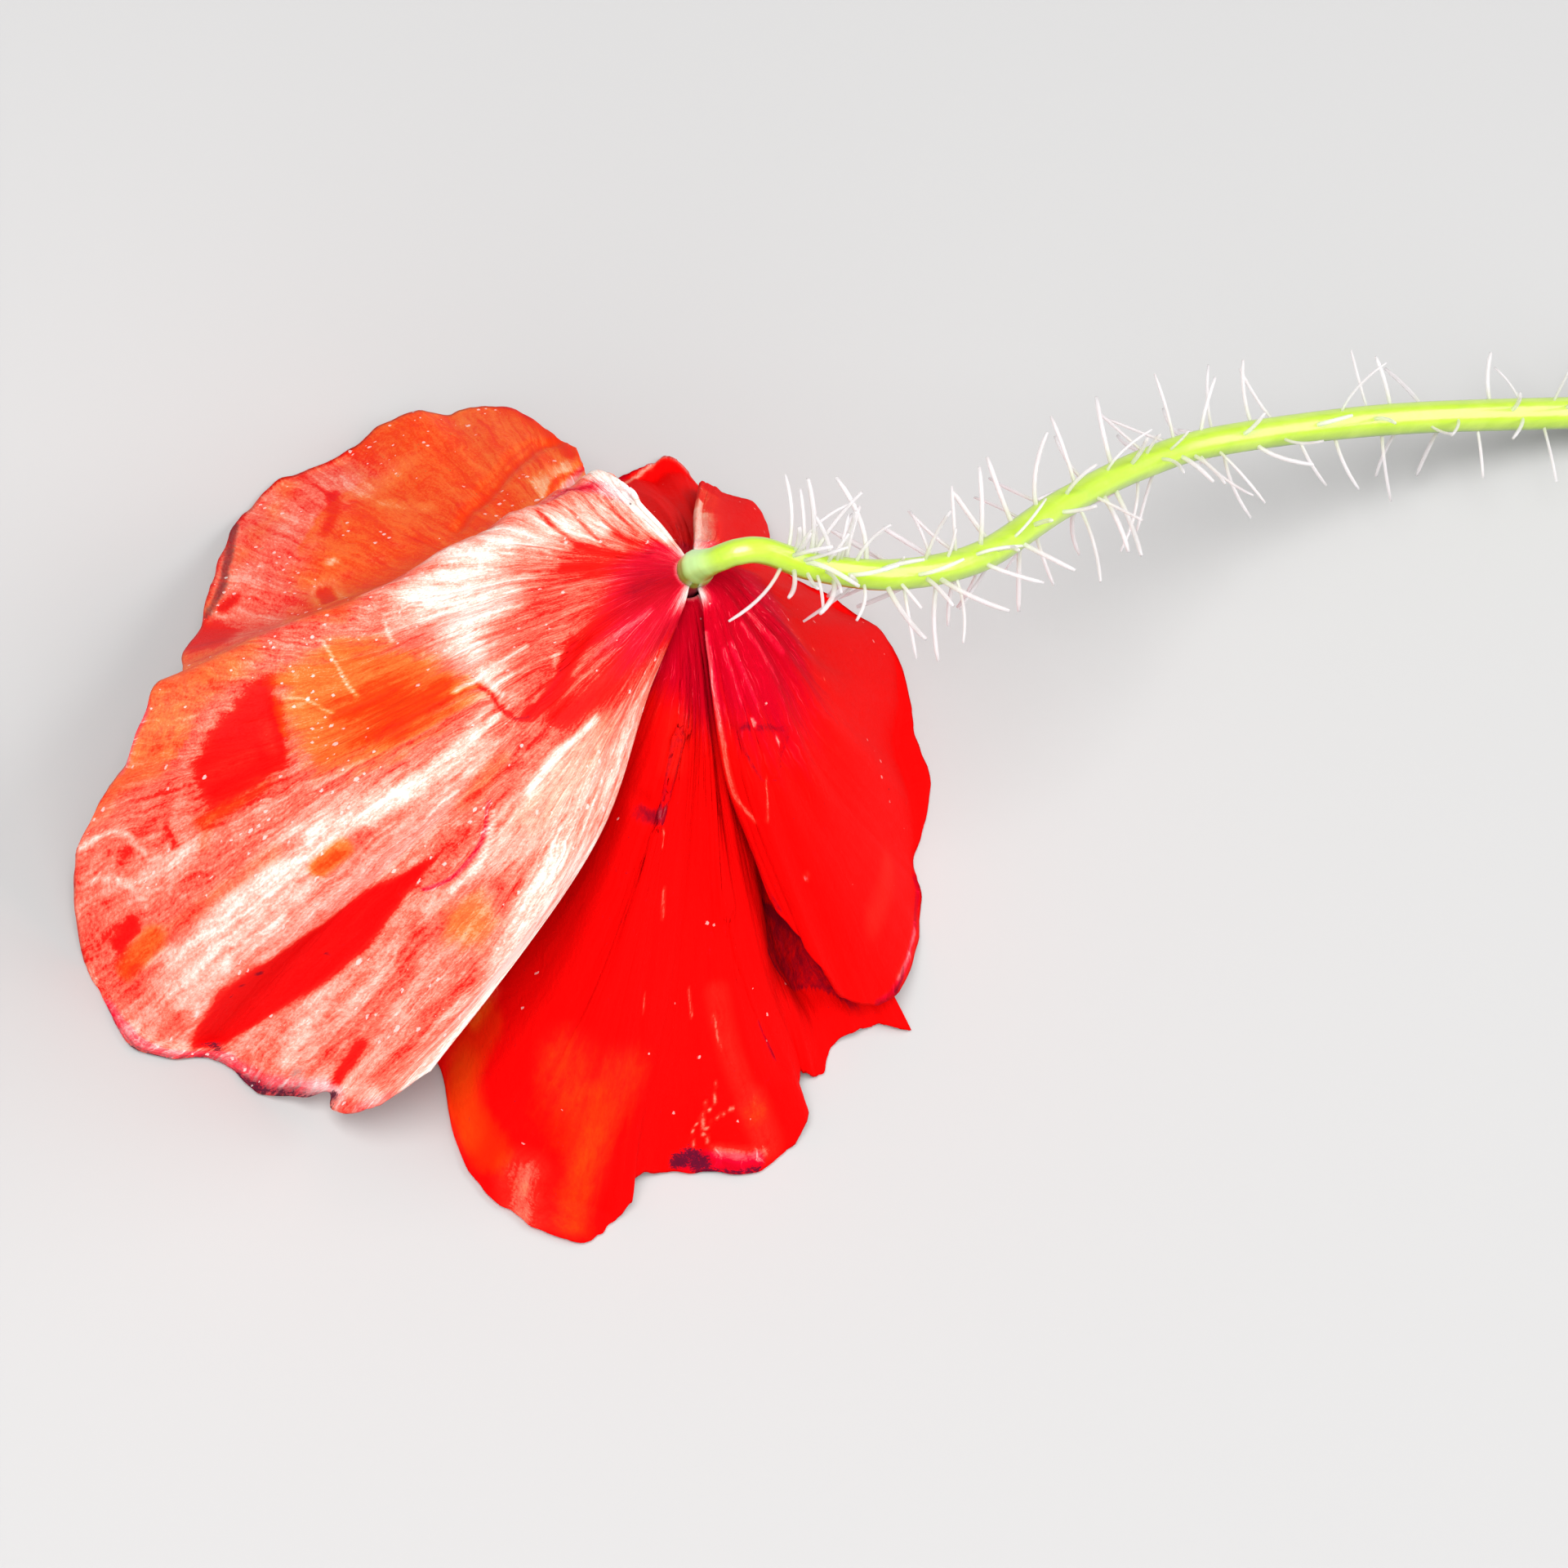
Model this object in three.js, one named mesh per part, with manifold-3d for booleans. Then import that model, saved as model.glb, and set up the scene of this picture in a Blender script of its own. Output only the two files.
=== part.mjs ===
// A picked common poppy, wilting, lying face down on its petal rims with its
// hairy stem arching over to the surface. Millimetres, +Z up, +X along the stem.
// The flower is laid out about its receptacle (plan 0, 0) and moved at the end
// so that the middle of the whole part's box lies over the origin.
import * as THREE from "three";
import Module from "manifold-3d";

const wasm = await Module();
wasm.setup();

// ---- driving dimensions -------------------------------------------------
const HUB = [-30.75, 1.33, 0];        // plan place of the receptacle
const PETAL_THICKNESS = 0.6;
const CLAW_RADIUS = 1.35;           // petals start this far from the axis
const CLAW_PACE = 4;                // how far each petal runs level before it falls
const OUTER_CLAW_HEIGHT = 27.0;
const INNER_CLAW_HEIGHT = 25.6;
const NECK_RADIUS = 1.0;            // receptacle where the petals sit
const NECK_BOTTOM = 24.8;
const KNOB_RADIUS = 1.15;
const STEM_RADIUS_TOP = 0.88;
const STEM_RADIUS_END = 1.15;
const BRISTLE_COUNT = 84;
const BRISTLE_LENGTH = [3.2, 5.0];
const BRISTLE_ROOT = 0.3;
const STAMEN_COUNT = 33;
const FILAMENT_RADIUS = 0.3;
const ANTHER = [0.55, 1.7];         // radius, length

// Each petal is a fan of ribs. A rib is where the petal runs: near the claw,
// half way out, and at the rim. Ribs go round the fan from margin to margin.
const LEFT_RIBS = [
  [[-3.5, -4, 23.6], [-9, -10.5, 17.6], [-19.75, -17, 7]],
  [[-6.5, -5.5, 23.6], [-14, -12.5, 16.8], [-23.5, -16.25, 3.6]],
  [[-9, -6, 23.8], [-18, -10.5, 16.2], [-26.75, -13, 0.8]],
  [[-11, -4.5, 24], [-21.5, -7.5, 16.2], [-31.75, -9.5, -2.2]],
  [[-11.5, -2.5, 24.2], [-23, -3.5, 16.6], [-33.5, -3.25, -0.6]],
  [[-10.5, -0.5, 24.2], [-21.5, -0.5, 18], [-32.1, 3.5, 4.8]],
  [[-10, 1, 24], [-21, 2, 17.8], [-30.1, 5, 12.2]],
  [[-9, 2.5, 24], [-19, 4.5, 18.2], [-26.75, 9, 15.2]],
  [[-8, 3.5, 24], [-17, 7, 18.8], [-26.75, 15.25, 17]],
  [[-6.5, 4.5, 24.4], [-15.5, 11, 20], [-25, 23.75, 20]],
  [[-5, 5, 25], [-12.5, 14.5, 22], [-22.25, 31.5, 23]],
  [[-3.5, 5.5, 25.4], [-10, 17.5, 24], [-17, 34.5, 25.8]],
  [[-2.5, 6, 26], [-7, 18.5, 25.2], [-11.25, 36, 27.6]],
  [[-1.5, 6, 26.6], [-4.5, 16.5, 25.8], [-5.75, 34.5, 28.2]],
  [[-1, 5, 27], [-2.5, 12, 25.4], [-2.5, 25.5, 27]],
];
const BOTTOM_RIBS = [
  [[-3.2, -3.9, 20.4], [-9.4, -6.8, 9.6], [-15.75, -10.25, 0.8]],
  [[-2.9, -4.9, 20.2], [-9, -11, 10], [-16.5, -14.5, 0.2]],
  [[-2, -6, 20], [-9.5, -15.5, 10.4], [-17.75, -21.5, 0.2]],
  [[-2, -6.5, 19.8], [-9, -17, 10.6], [-15.5, -25, -2]],
  [[-2, -7, 19.6], [-8, -18, 10.4], [-13, -28.25, -2.2]],
  [[-1.5, -7, 19.4], [-6.5, -18.5, 9.8], [-10, -27, 0.4]],
  [[-1, -7, 19.2], [-4.5, -18, 9], [-8.25, -25.75, 1]],
  [[-0.5, -7, 19], [-3, -18, 8.4], [-4.5, -26.75, 0.4]],
  [[0, -7, 19], [-1, -18, 8.6], [0, -27.5, -0.2]],
  [[0.5, -6.5, 18.8], [0.4, -17.4, 9.8], [3.25, -25.75, 1.2]],
  [[1, -6.5, 18.6], [2.2, -16.3, 9], [4.25, -22.5, 1]],
  [[2, -5.5, 18.4], [4.2, -14.8, 7.6], [5.5, -23.5, 0.2]],
  [[2.5, -5.5, 18.2], [6.2, -12.5, 6.3], [8.25, -21.75, 0.4]],
  [[3, -5, 18.2], [8.1, -11.3, 5.5], [10.25, -21.75, 0.6]],
  [[3.5, -4.5, 18.2], [10, -9, 4.6], [12.5, -23, -0.2]],
];
const RIGHT_RIBS = [
  [[-0.25, -4, 24.8], [0.5, -9.5, 17.8], [3, -14.75, 11.6]],
  [[0.25, -4.5, 24.8], [1.5, -11, 17.4], [4.75, -18.25, 8.6]],
  [[1, -4.75, 24.6], [3, -11.5, 16.8], [7.5, -20.75, 4.6]],
  [[1.5, -4.75, 24.4], [5, -11.5, 16], [11.75, -21, 2.4]],
  [[2.75, -4.25, 24.2], [7, -11, 15.2], [17.25, -15.5, -0.2]],
  [[3.5, -3.5, 23.8], [9, -9.5, 14.6], [18.5, -12.75, 0.4]],
  [[4, -3, 24], [10.5, -7.5, 14.4], [21.75, -8, -2]],
  [[4.5, -2.5, 24], [11.5, -5, 14.4], [22.75, -3, -1]],
  [[4.5, -1.5, 24.2], [11.5, -2, 14.4], [23.5, 1.75, 0.4]],
  [[4.5, -0.5, 24.4], [11.5, 0.5, 14.8], [21.5, 5.25, -0.2]],
  [[4, 0.5, 24.4], [10.5, 3, 15.2], [19.1, 9.1, 0.4]],
  [[3.25, 1.5, 25.3], [9.5, 5.5, 15.6], [19, 13, 0.4]],
  [[2.75, 2, 25.8], [8, 7, 16.4], [17, 14.5, 1.6]],
  [[1.5, 2.25, 26.1], [6.5, 7, 17.6], [14.5, 14, 4.2]],
];
const TOP_RIBS = [
  [[5, 2.5, 20.2], [9.6, 5.1, 11.4], [14.6, 10.2, 0.7]],
  [[4.75, 3, 20.3], [9.75, 6.5, 11], [15.6, 12.8, 0.3]],
  [[4.5, 3.5, 20.5], [9.75, 8, 10.8], [16.2, 16.2, 0.2]],
  [[4, 4, 20.6], [9.5, 9.5, 10.8], [15, 18.1, -1.6]],
  [[3.5, 4.5, 20.8], [8.5, 10.75, 10.8], [12.4, 17.6, -0.6]],
  [[3, 4.5, 21], [7.25, 11.5, 10.6], [9.6, 17.2, 1.2]],
  [[2.25, 4.75, 21], [5.5, 12, 10.4], [6.75, 18.5, -0.2]],
  [[1.5, 4.75, 21], [3.75, 12, 10], [3.75, 18.75, 0.4]],
  [[0.75, 4.75, 21.2], [1.75, 12, 9.6], [1, 18.5, 0.6]],
];

// claw: the arc under the receptacle, in degrees from +X, that a petal starts on
// grooves: [place across 0..1, width, depth, starts at]; a depth below 0 is a ridge
// ripple: [height, count, phase]; ruffle: [height, count, phase, starts at]
const PETALS = {
  petal_left: {
    ribs: LEFT_RIBS, claw: [231, 89, OUTER_CLAW_HEIGHT], across: 60, along: 17,
    grooves: [[0.195, 0.032, 2.1, 0.3], [0.1, 0.03, 0.6, 0.3], [0.33, 0.03, -0.5, 0.3],
      [0.055, 0.02, -0.4, 0.4], [0.4, 0.03, 0.5, 0.45], [0.8, 0.03, 0.7, 0.55], [0.7, 0.02, -0.5, 0.6]],
    ripple: [0.1, 11, 0.4], ruffle: [0.3, 5, 0.7, 0.75], fold: true, colour: 0xe8503c,
  },
  petal_bottom: {
    ribs: BOTTOM_RIBS, claw: [-150, -66, INNER_CLAW_HEIGHT], across: 50, along: 14,
    grooves: [[0.33, 0.04, 0.45, 0.2], [0.48, 0.04, 0.45, 0.2], [0.15, 0.04, 0.3, 0.3], [0.67, 0.03, 0.5, 0.2]],
    ripple: [0.08, 9, 0.9], ruffle: [0.3, 6, 0.3, 0.74], fold: false, colour: 0xd41414,
  },
  petal_right: {
    ribs: RIGHT_RIBS, claw: [-97, 61, OUTER_CLAW_HEIGHT], across: 44, along: 14,
    grooves: [[0.34, 0.04, 0.3, 0.4], [0.52, 0.05, 0.35, 0.4], [0.75, 0.04, 0.3, 0.4]],
    ripple: [0.1, 10, 0.1], ruffle: [0.3, 4, 0.2, 0.7], fold: false, colour: 0xd81818,
  },
  petal_top: {
    ribs: TOP_RIBS, claw: [28, 112, INNER_CLAW_HEIGHT], across: 26, along: 12,
    grooves: [[0.4, 0.04, 0.5, 0.3], [0.7, 0.04, 0.5, 0.3]],
    ripple: [0.06, 6, 0.4], ruffle: [0.1, 3, 0.5, 0.7], fold: false, colour: 0xc81020,
  },
};

// The wide left petal is folded back along one crease and hangs down behind it.
const FOLD = {
  start: [-29.5, 6.7, 13.5], end: [-3, 6.3, 25.2], out: [-0.42, -0.26, 0.87],
  radius: 1.6, angle: 80, straight: 7, flareRadius: 10, flare: 54, bow: 0,
};

// Stem centreline from the neck of the receptacle to the cut end.
const STEM = [
  [0, 0, 27.4], [-0.1, -0.3, 28.6], [0.3, -0.7, 29.8], [1.3, -1, 30.7], [2.75, -1.5, 30.85],
  [5.7, -3, 29.85], [11.1, -4.2, 27.9], [18.2, -3.7, 24.95], [27.1, -0.8, 21], [36.1, 1.5, 17],
  [44.3, 2.5, 13.8], [59.7, 2.2, 8.6], [76.5, 0.2, 3.9], [88, -1.8, 1.5], [95, -3, 1.15],
];

// ---- small vector helpers -------------------------------------------------
const add = (a, b) => [a[0] + b[0], a[1] + b[1], a[2] + b[2]];
const sub = (a, b) => [a[0] - b[0], a[1] - b[1], a[2] - b[2]];
const mul = (a, k) => [a[0] * k, a[1] * k, a[2] * k];
const dot = (a, b) => a[0] * b[0] + a[1] * b[1] + a[2] * b[2];
const cross = (a, b) => [a[1] * b[2] - a[2] * b[1], a[2] * b[0] - a[0] * b[2], a[0] * b[1] - a[1] * b[0]];
const unit = (a) => mul(a, 1 / Math.max(Math.hypot(...a), 1e-9));
const clamp = (x, a, b) => Math.min(Math.max(x, a), b);
const smooth = (x) => { const t = clamp(x, 0, 1); return t * t * (3 - 2 * t); };
const rad = (d) => d * Math.PI / 180;

function seeded(seed) {
  let a = seed >>> 0;
  return () => {
    a = (a + 0x6d2b79f5) >>> 0;
    let t = a;
    t = Math.imul(t ^ (t >>> 15), t | 1);
    t ^= t + Math.imul(t ^ (t >>> 7), t | 61);
    return ((t ^ (t >>> 14)) >>> 0) / 4294967296;
  };
}

// Smooth curve through points, u from 0 to points.length - 1. A heading, where
// given, is the direction and pace that the curve starts with.
function through(points, u, heading) {
  const n = points.length;
  const k = clamp(Math.floor(u), 0, n - 2);
  const f = u - k;
  const at = (i) => (i < 0 ? (heading ? sub(points[1], mul(heading, 2)) : sub(mul(points[0], 2), points[1]))
    : i >= n ? sub(mul(points[n - 1], 2), points[n - 2]) : points[i]);
  const [a, b, c, d] = [at(k - 1), at(k), at(k + 1), at(k + 2)];
  return [0, 1, 2].map((i) => 0.5 * (2 * b[i] + (c[i] - a[i]) * f
    + (2 * a[i] - 5 * b[i] + 4 * c[i] - d[i]) * f * f
    + (3 * b[i] - a[i] - 3 * c[i] + d[i]) * f * f * f));
}

// ---- petals ---------------------------------------------------------------
function foldBack(p) {
  const f = FOLD;
  const span = Math.hypot(...sub(f.end, f.start));
  const a = unit(sub(f.end, f.start));
  const n = unit(sub(f.out, mul(a, dot(f.out, a))));
  const w = mul(cross(a, n), -1);
  const q = sub(p, f.start);
  const [qa, qw, qn] = [dot(q, a), dot(q, w), dot(q, n)];
  const bow = f.bow * Math.sin(Math.PI * clamp(qa / span, 0, 1));
  const [al, be] = [rad(f.angle), rad(f.flare)];
  const d = qw + bow;
  const th = clamp(d / f.radius, 0, al);
  let x = d < 0 ? d : f.radius * Math.sin(th);
  let z = -f.radius * (1 - Math.cos(th));
  const d1 = clamp(d - f.radius * al, 0, f.straight);
  x += d1 * Math.cos(al);
  z -= d1 * Math.sin(al);
  const d2 = Math.max(d - f.radius * al - f.straight, 0);
  const ph = clamp(d2 / f.flareRadius, 0, al - be);
  x += f.flareRadius * (Math.sin(al) - Math.sin(al - ph));
  z -= f.flareRadius * (Math.cos(al - ph) - Math.cos(al));
  const d3 = Math.max(d2 - f.flareRadius * (al - be), 0);
  x += d3 * Math.cos(be);
  z -= d3 * Math.sin(be);
  const turn = d <= 0 ? 0 : th - ph;
  x += qn * Math.sin(turn);
  z += qn * Math.cos(turn);
  return add(add(add(f.start, mul(a, qa)), mul(w, x - bow)), mul(n, z));
}

function petalPoint(spec, s, t) {
  const rows = spec.ribs.map((rib, i) => {
    const angle = rad(spec.claw[0] + (spec.claw[1] - spec.claw[0]) * i / (spec.ribs.length - 1));
    return [[CLAW_RADIUS * Math.cos(angle), CLAW_RADIUS * Math.sin(angle), spec.claw[2]], ...rib];
  });
  const u = s * (rows.length - 1);
  const rib = [0, 1, 2, 3].map((j) => through(rows.map((r) => r[j]), u));
  const out = unit([rib[0][0], rib[0][1], 0]);
  const p = through(rib, t * 3, mul(out, CLAW_PACE));
  return spec.fold ? foldBack(p) : p;
}

function relief(spec, s, t) {
  let h = 0;
  for (const [at, width, depth, from] of spec.grooves) {
    h -= depth * Math.exp(-(((s - at) / width) ** 2)) * smooth((t - from) / 0.35);
  }
  const [ra, rk, rp] = spec.ripple;
  h += ra * Math.sin(2 * Math.PI * rk * s + rp + 1.3 * Math.sin(9 * s)) * smooth(t / 0.5);
  const [fa, fk, fp, from] = spec.ruffle;
  h += fa * Math.sin(2 * Math.PI * fk * s + fp + 1.1 * Math.sin(20.7 * s + 1))
    * smooth((t - from) / (1 - from)) ** 1.5;
  return h;
}

function gridNormals(P, n, m) {
  const N = [];
  for (let i = 0; i <= n; i++) {
    for (let j = 0; j <= m; j++) {
      const di = sub(P[Math.min(i + 1, n)][j], P[Math.max(i - 1, 0)][j]);
      const dj = sub(P[i][Math.min(j + 1, m)], P[i][Math.max(j - 1, 0)]);
      (N[i] ??= [])[j] = unit(cross(di, dj));
    }
  }
  let up = 0;
  for (const row of N) for (const v of row) up += v[2];
  return up < 0 ? N.map((row) => row.map((v) => mul(v, -1))) : N;
}

// A closed sheet: both faces share one grid and are split alike. Where the rim
// meets the surface it lies flat on it.
function petalSolid(spec) {
  const n = spec.across, m = spec.along;
  const row = (j) => 1 - (1 - j / m) ** 1.3;   // rows lie closer towards the rim
  let P = [];
  for (let i = 0; i <= n; i++) {
    P[i] = [];
    for (let j = 0; j <= m; j++) P[i][j] = petalPoint(spec, i / n, row(j));
  }
  const N0 = gridNormals(P, n, m);
  P = P.map((rib, i) => rib.map((p, j) => add(p, mul(N0[i][j], relief(spec, i / n, row(j))))));
  const N = gridNormals(P, n, m);
  const half = PETAL_THICKNESS / 2;
  const verts = [];
  const index = [];
  const id = (face, i, j) => face * (n + 1) * (m + 1) + i * (m + 1) + j;
  for (const face of [0, 1]) {
    for (let i = 0; i <= n; i++) {
      for (let j = 0; j <= m; j++) {
        const v = add(P[i][j], mul(N[i][j], face === 0 ? half : -half));
        v[2] = Math.max(v[2], face === 0 ? PETAL_THICKNESS : 0);
        verts.push(...v);
      }
    }
  }
  for (let i = 0; i < n; i++) {
    for (let j = 0; j < m; j++) {
      for (const face of [0, 1]) {
        const [a, b, c, d] = [id(face, i, j), id(face, i + 1, j), id(face, i + 1, j + 1), id(face, i, j + 1)];
        if (face === 0) index.push(a, b, c, a, c, d);
        else index.push(a, c, b, a, d, c);
      }
    }
  }
  const wall = (i0, j0, i1, j1) => {
    const [a, b, c, d] = [id(0, i0, j0), id(0, i1, j1), id(1, i1, j1), id(1, i0, j0)];
    index.push(a, c, b, a, d, c);
  };
  for (let i = 0; i < n; i++) { wall(i, 0, i + 1, 0); wall(i + 1, m, i, m); }
  for (let j = 0; j < m; j++) { wall(n, j, n, j + 1); wall(0, j + 1, 0, j); }
  return closed(verts, index);
}

// Turns the triangles outward and hands back a geometry.
function closed(verts, index) {
  let volume = 0;
  for (let k = 0; k < index.length; k += 3) {
    const [a, b, c] = [0, 1, 2].map((q) => verts.slice(index[k + q] * 3, index[k + q] * 3 + 3));
    volume += dot(a, cross(b, c));
  }
  const tris = [...index];
  if (volume < 0) for (let k = 0; k < tris.length; k += 3) [tris[k + 1], tris[k + 2]] = [tris[k + 2], tris[k + 1]];
  const g = new THREE.BufferGeometry();
  g.setAttribute("position", new THREE.BufferAttribute(new Float32Array(verts), 3));
  g.setIndex(tris);
  return g;
}

// ---- tubes, bristles and turned pieces -----------------------------------
const toManifold = (g) => new wasm.Manifold(new wasm.Mesh({
  numProp: 3,
  vertProperties: new Float32Array(g.attributes.position.array),
  triVerts: new Uint32Array(g.index.array),
}));

function fromManifold(solid) {
  const mesh = solid.getMesh();
  const g = new THREE.BufferGeometry();
  const position = new Float32Array(mesh.numVert * 3);
  for (let i = 0; i < mesh.numVert; i++) {
    for (let k = 0; k < 3; k++) position[i * 3 + k] = mesh.vertProperties[i * mesh.numProp + k];
  }
  g.setAttribute("position", new THREE.BufferAttribute(position, 3));
  g.setIndex([...mesh.triVerts]);
  return g;
}

// A tube along points with a radius at each, flat at both ends, or pointed.
function tube(points, radii, sides, pointed = false, turn = 0) {
  const verts = [];
  const index = [];
  const last = points.length - 1;
  let side = null;
  for (let i = 0; i <= last; i++) {
    const along = unit(sub(points[Math.min(i + 1, last)], points[Math.max(i - 1, 0)]));
    if (!side) side = unit(cross(along, Math.abs(along[2]) < 0.9 ? [0, 0, 1] : [1, 0, 0]));
    side = unit(sub(side, mul(along, dot(side, along))));
    const other = cross(along, side);
    if (pointed && i === last) { verts.push(...points[i]); break; }
    for (let k = 0; k < sides; k++) {
      const a = 2 * Math.PI * k / sides + turn;
      verts.push(...add(points[i], add(mul(side, radii[i] * Math.cos(a)), mul(other, radii[i] * Math.sin(a)))));
    }
  }
  const rings = pointed ? last : last + 1;
  for (let i = 0; i < rings - 1; i++) {
    for (let k = 0; k < sides; k++) {
      const [a, b] = [i * sides + k, i * sides + (k + 1) % sides];
      index.push(a, b, b + sides, a, b + sides, a + sides);
    }
  }
  for (let k = 1; k < sides - 1; k++) index.push(0, k + 1, k);
  if (pointed) {
    const tip = rings * sides;
    for (let k = 0; k < sides; k++) index.push(tip - sides + k, tip - sides + (k + 1) % sides, tip);
  } else {
    const base = (rings - 1) * sides;
    for (let k = 1; k < sides - 1; k++) index.push(base, base + k, base + k + 1);
  }
  return closed(verts, index);
}

// A solid turned about the vertical through (0, 0), from [radius, height] pairs.
function turned(profile, sides) {
  const points = profile.map(([, z]) => [0, 0, z]);
  return tube(points, profile.map(([r]) => r), sides);
}

function stemSolid() {
  const steps = 44;
  const line = [];
  const radii = [];
  for (let i = 0; i <= steps; i++) {
    const f = (i / steps) ** 1.25;
    line.push(through(STEM, f * (STEM.length - 1)));
    radii.push(STEM_RADIUS_TOP + (STEM_RADIUS_END - STEM_RADIUS_TOP) * smooth(f * 1.1));
  }
  let solid = toManifold(tube(line, radii, 9));
  const knob = turned([[NECK_RADIUS * 0.98, NECK_BOTTOM], [NECK_RADIUS, 26.6], [NECK_RADIUS * 0.98, 27.2],
    [KNOB_RADIUS, 27.7], [KNOB_RADIUS, 28.3], [KNOB_RADIUS * 0.85, 28.8], [KNOB_RADIUS * 0.45, 29.15]], 12);
  solid = solid.add(toManifold(knob));
  const random = seeded(41);
  for (let k = 0; k < BRISTLE_COUNT; k++) {
    const f = 0.3 + 0.69 * ((k + 0.7 * random()) / BRISTLE_COUNT) ** 1.18;
    const u = f * (STEM.length - 1);
    const p = through(STEM, u);
    const along = unit(sub(through(STEM, Math.min(u + 0.05, STEM.length - 1)), through(STEM, u - 0.05)));
    const side = unit(cross(along, [0, 0, 1]));
    const up = cross(side, along);
    let a = 2.4 * k + 1.2 * random();
    const low = p[2] < 6 || p[0] < 8;
    if (low && Math.sin(a) < 0.1) a = -a;
    const out = add(mul(side, Math.cos(a)), mul(up, Math.sin(a)));
    const length = BRISTLE_LENGTH[0] + (BRISTLE_LENGTH[1] - BRISTLE_LENGTH[0]) * random();
    const lean = (random() - 0.5) * 0.9;
    const curl = (random() - 0.5) * 2.2;
    const reach = (d) => {
      const q = add(p, add(mul(out, d), mul(along, lean * d + curl * (d / length) ** 2)));
      q[2] = Math.max(q[2], 0.35);
      return q;
    };
    const path = [add(p, mul(out, 0.2)), reach(0.55 * length + 0.6), reach(length + 0.6)];
    solid = solid.add(toManifold(tube(path, [BRISTLE_ROOT, BRISTLE_ROOT * 0.8, 0], 3, true, random() * 6)));
  }
  return fromManifold(solid);
}

// Ovary with its flat rayed cap, hanging below the receptacle.
function ovarySolid() {
  return turned([[0.75, 24.5], [0.8, 23.9], [1.35, 23.1], [1.85, 22], [2.1, 20.6], [2.05, 19.2], [1.7, 18.1],
    [1.85, 17.9], [2.6, 17.8], [2.65, 17.3], [2.2, 17.0], [0.9, 16.8]], 14);
}

// Ring of filaments under the petals, each ending in a dark anther, in three
// tiers so that neighbours stand clear of one another.
function stamenSolid() {
  const ring = tube([[0, 0, 24.5], [0, 0, 24]], [1.7, 1.7], 16);
  const hole = tube([[0, 0, 25], [0, 0, 23.5]], [1.15, 1.15], 16);
  let solid = toManifold(ring).subtract(toManifold(hole));
  const random = seeded(7);
  const [r, h] = ANTHER;
  for (let k = 0; k < STAMEN_COUNT; k++) {
    const a = 2 * Math.PI * (k + 0.25 * random()) / STAMEN_COUNT;
    const tier = [0, 2, 1][k % 3];
    const narrow = Math.sin(a + rad(20)) ** 2;
    const wide = 3.55 - 0.25 * narrow + (0.85 - 0.3 * narrow) * tier + 0.2 * random();
    const low = 19.4 - 1.7 * tier - 0.4 * random();
    const at = (q, z) => [q * Math.cos(a), q * Math.sin(a), z];
    const path = [at(1.45, 24.3), at(2.4, 22.4), at(wide, low),
      at(wide + 0.1, low - 0.3), at(wide + 0.2, low - h + 0.3), at(wide + 0.2, low - h)];
    const f = FILAMENT_RADIUS;
    solid = solid.add(toManifold(tube(path, [f, f, f, r, r, 0.3], 4, false, 0.8)));
  }
  return fromManifold(solid);
}

// ---- the part ---------------------------------------------------------------
const material = (name, color, roughness) => Object.assign(
  new THREE.MeshStandardMaterial({ color, roughness, metalness: 0, flatShading: true }), { name });

const flower = new THREE.Group();
flower.name = "poppy";
flower.position.set(...HUB);
function piece(name, geometry, mat) {
  const mesh = new THREE.Mesh(geometry, mat);
  mesh.name = name;
  flower.add(mesh);
  return mesh;
}
for (const [name, spec] of Object.entries(PETALS)) {
  piece(name, petalSolid(spec), material(name, spec.colour, 0.6));
}
piece("stem", stemSolid(), material("stem", 0x9cc04a, 0.5));
piece("ovary", ovarySolid(), material("ovary", 0x8fae62, 0.6));
piece("stamens", stamenSolid(), material("stamens", 0x2a2030, 0.7));

const part = new THREE.Group();
part.name = "wilting_poppy";
part.add(flower);
export default part;
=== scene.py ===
import math

import bpy
import numpy as np
from mathutils import Matrix, Vector


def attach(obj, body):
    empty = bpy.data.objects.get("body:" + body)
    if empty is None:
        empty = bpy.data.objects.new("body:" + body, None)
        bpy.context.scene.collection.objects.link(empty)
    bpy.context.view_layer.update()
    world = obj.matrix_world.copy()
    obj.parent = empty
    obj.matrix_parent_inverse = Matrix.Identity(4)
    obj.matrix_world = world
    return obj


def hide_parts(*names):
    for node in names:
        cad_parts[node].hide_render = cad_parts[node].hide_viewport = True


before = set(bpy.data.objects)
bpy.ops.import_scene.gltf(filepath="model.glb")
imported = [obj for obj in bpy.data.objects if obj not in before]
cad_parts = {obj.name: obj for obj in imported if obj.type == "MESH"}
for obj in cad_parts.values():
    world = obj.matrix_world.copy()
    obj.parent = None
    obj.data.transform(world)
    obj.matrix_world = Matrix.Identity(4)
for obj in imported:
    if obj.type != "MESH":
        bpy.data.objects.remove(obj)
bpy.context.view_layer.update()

# Everything about the flower is laid out in millimetres about its receptacle,
# +Z up and +X along the stem, and moved to its place in the frame at the end.
MM = 0.001
HUB = np.array([-30.75, 1.33, 0.0])


def add_object(name, data):
    thing = bpy.data.objects.new(name, data)
    bpy.context.scene.collection.objects.link(thing)
    return thing


# ---- camera -------------------------------------------------------------------
CAMERA_PLACE = np.array([-103.153, -77.461, 236.082])
CAMERA_RIGHT = (0.85534, -0.43145, 0.28679)
CAMERA_UP = (0.29766, 0.86235, 0.40958)
CAMERA_BACK = (-0.42402, -0.26496, 0.86603)
LENS, SENSOR_WIDTH = 100, 36


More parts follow.
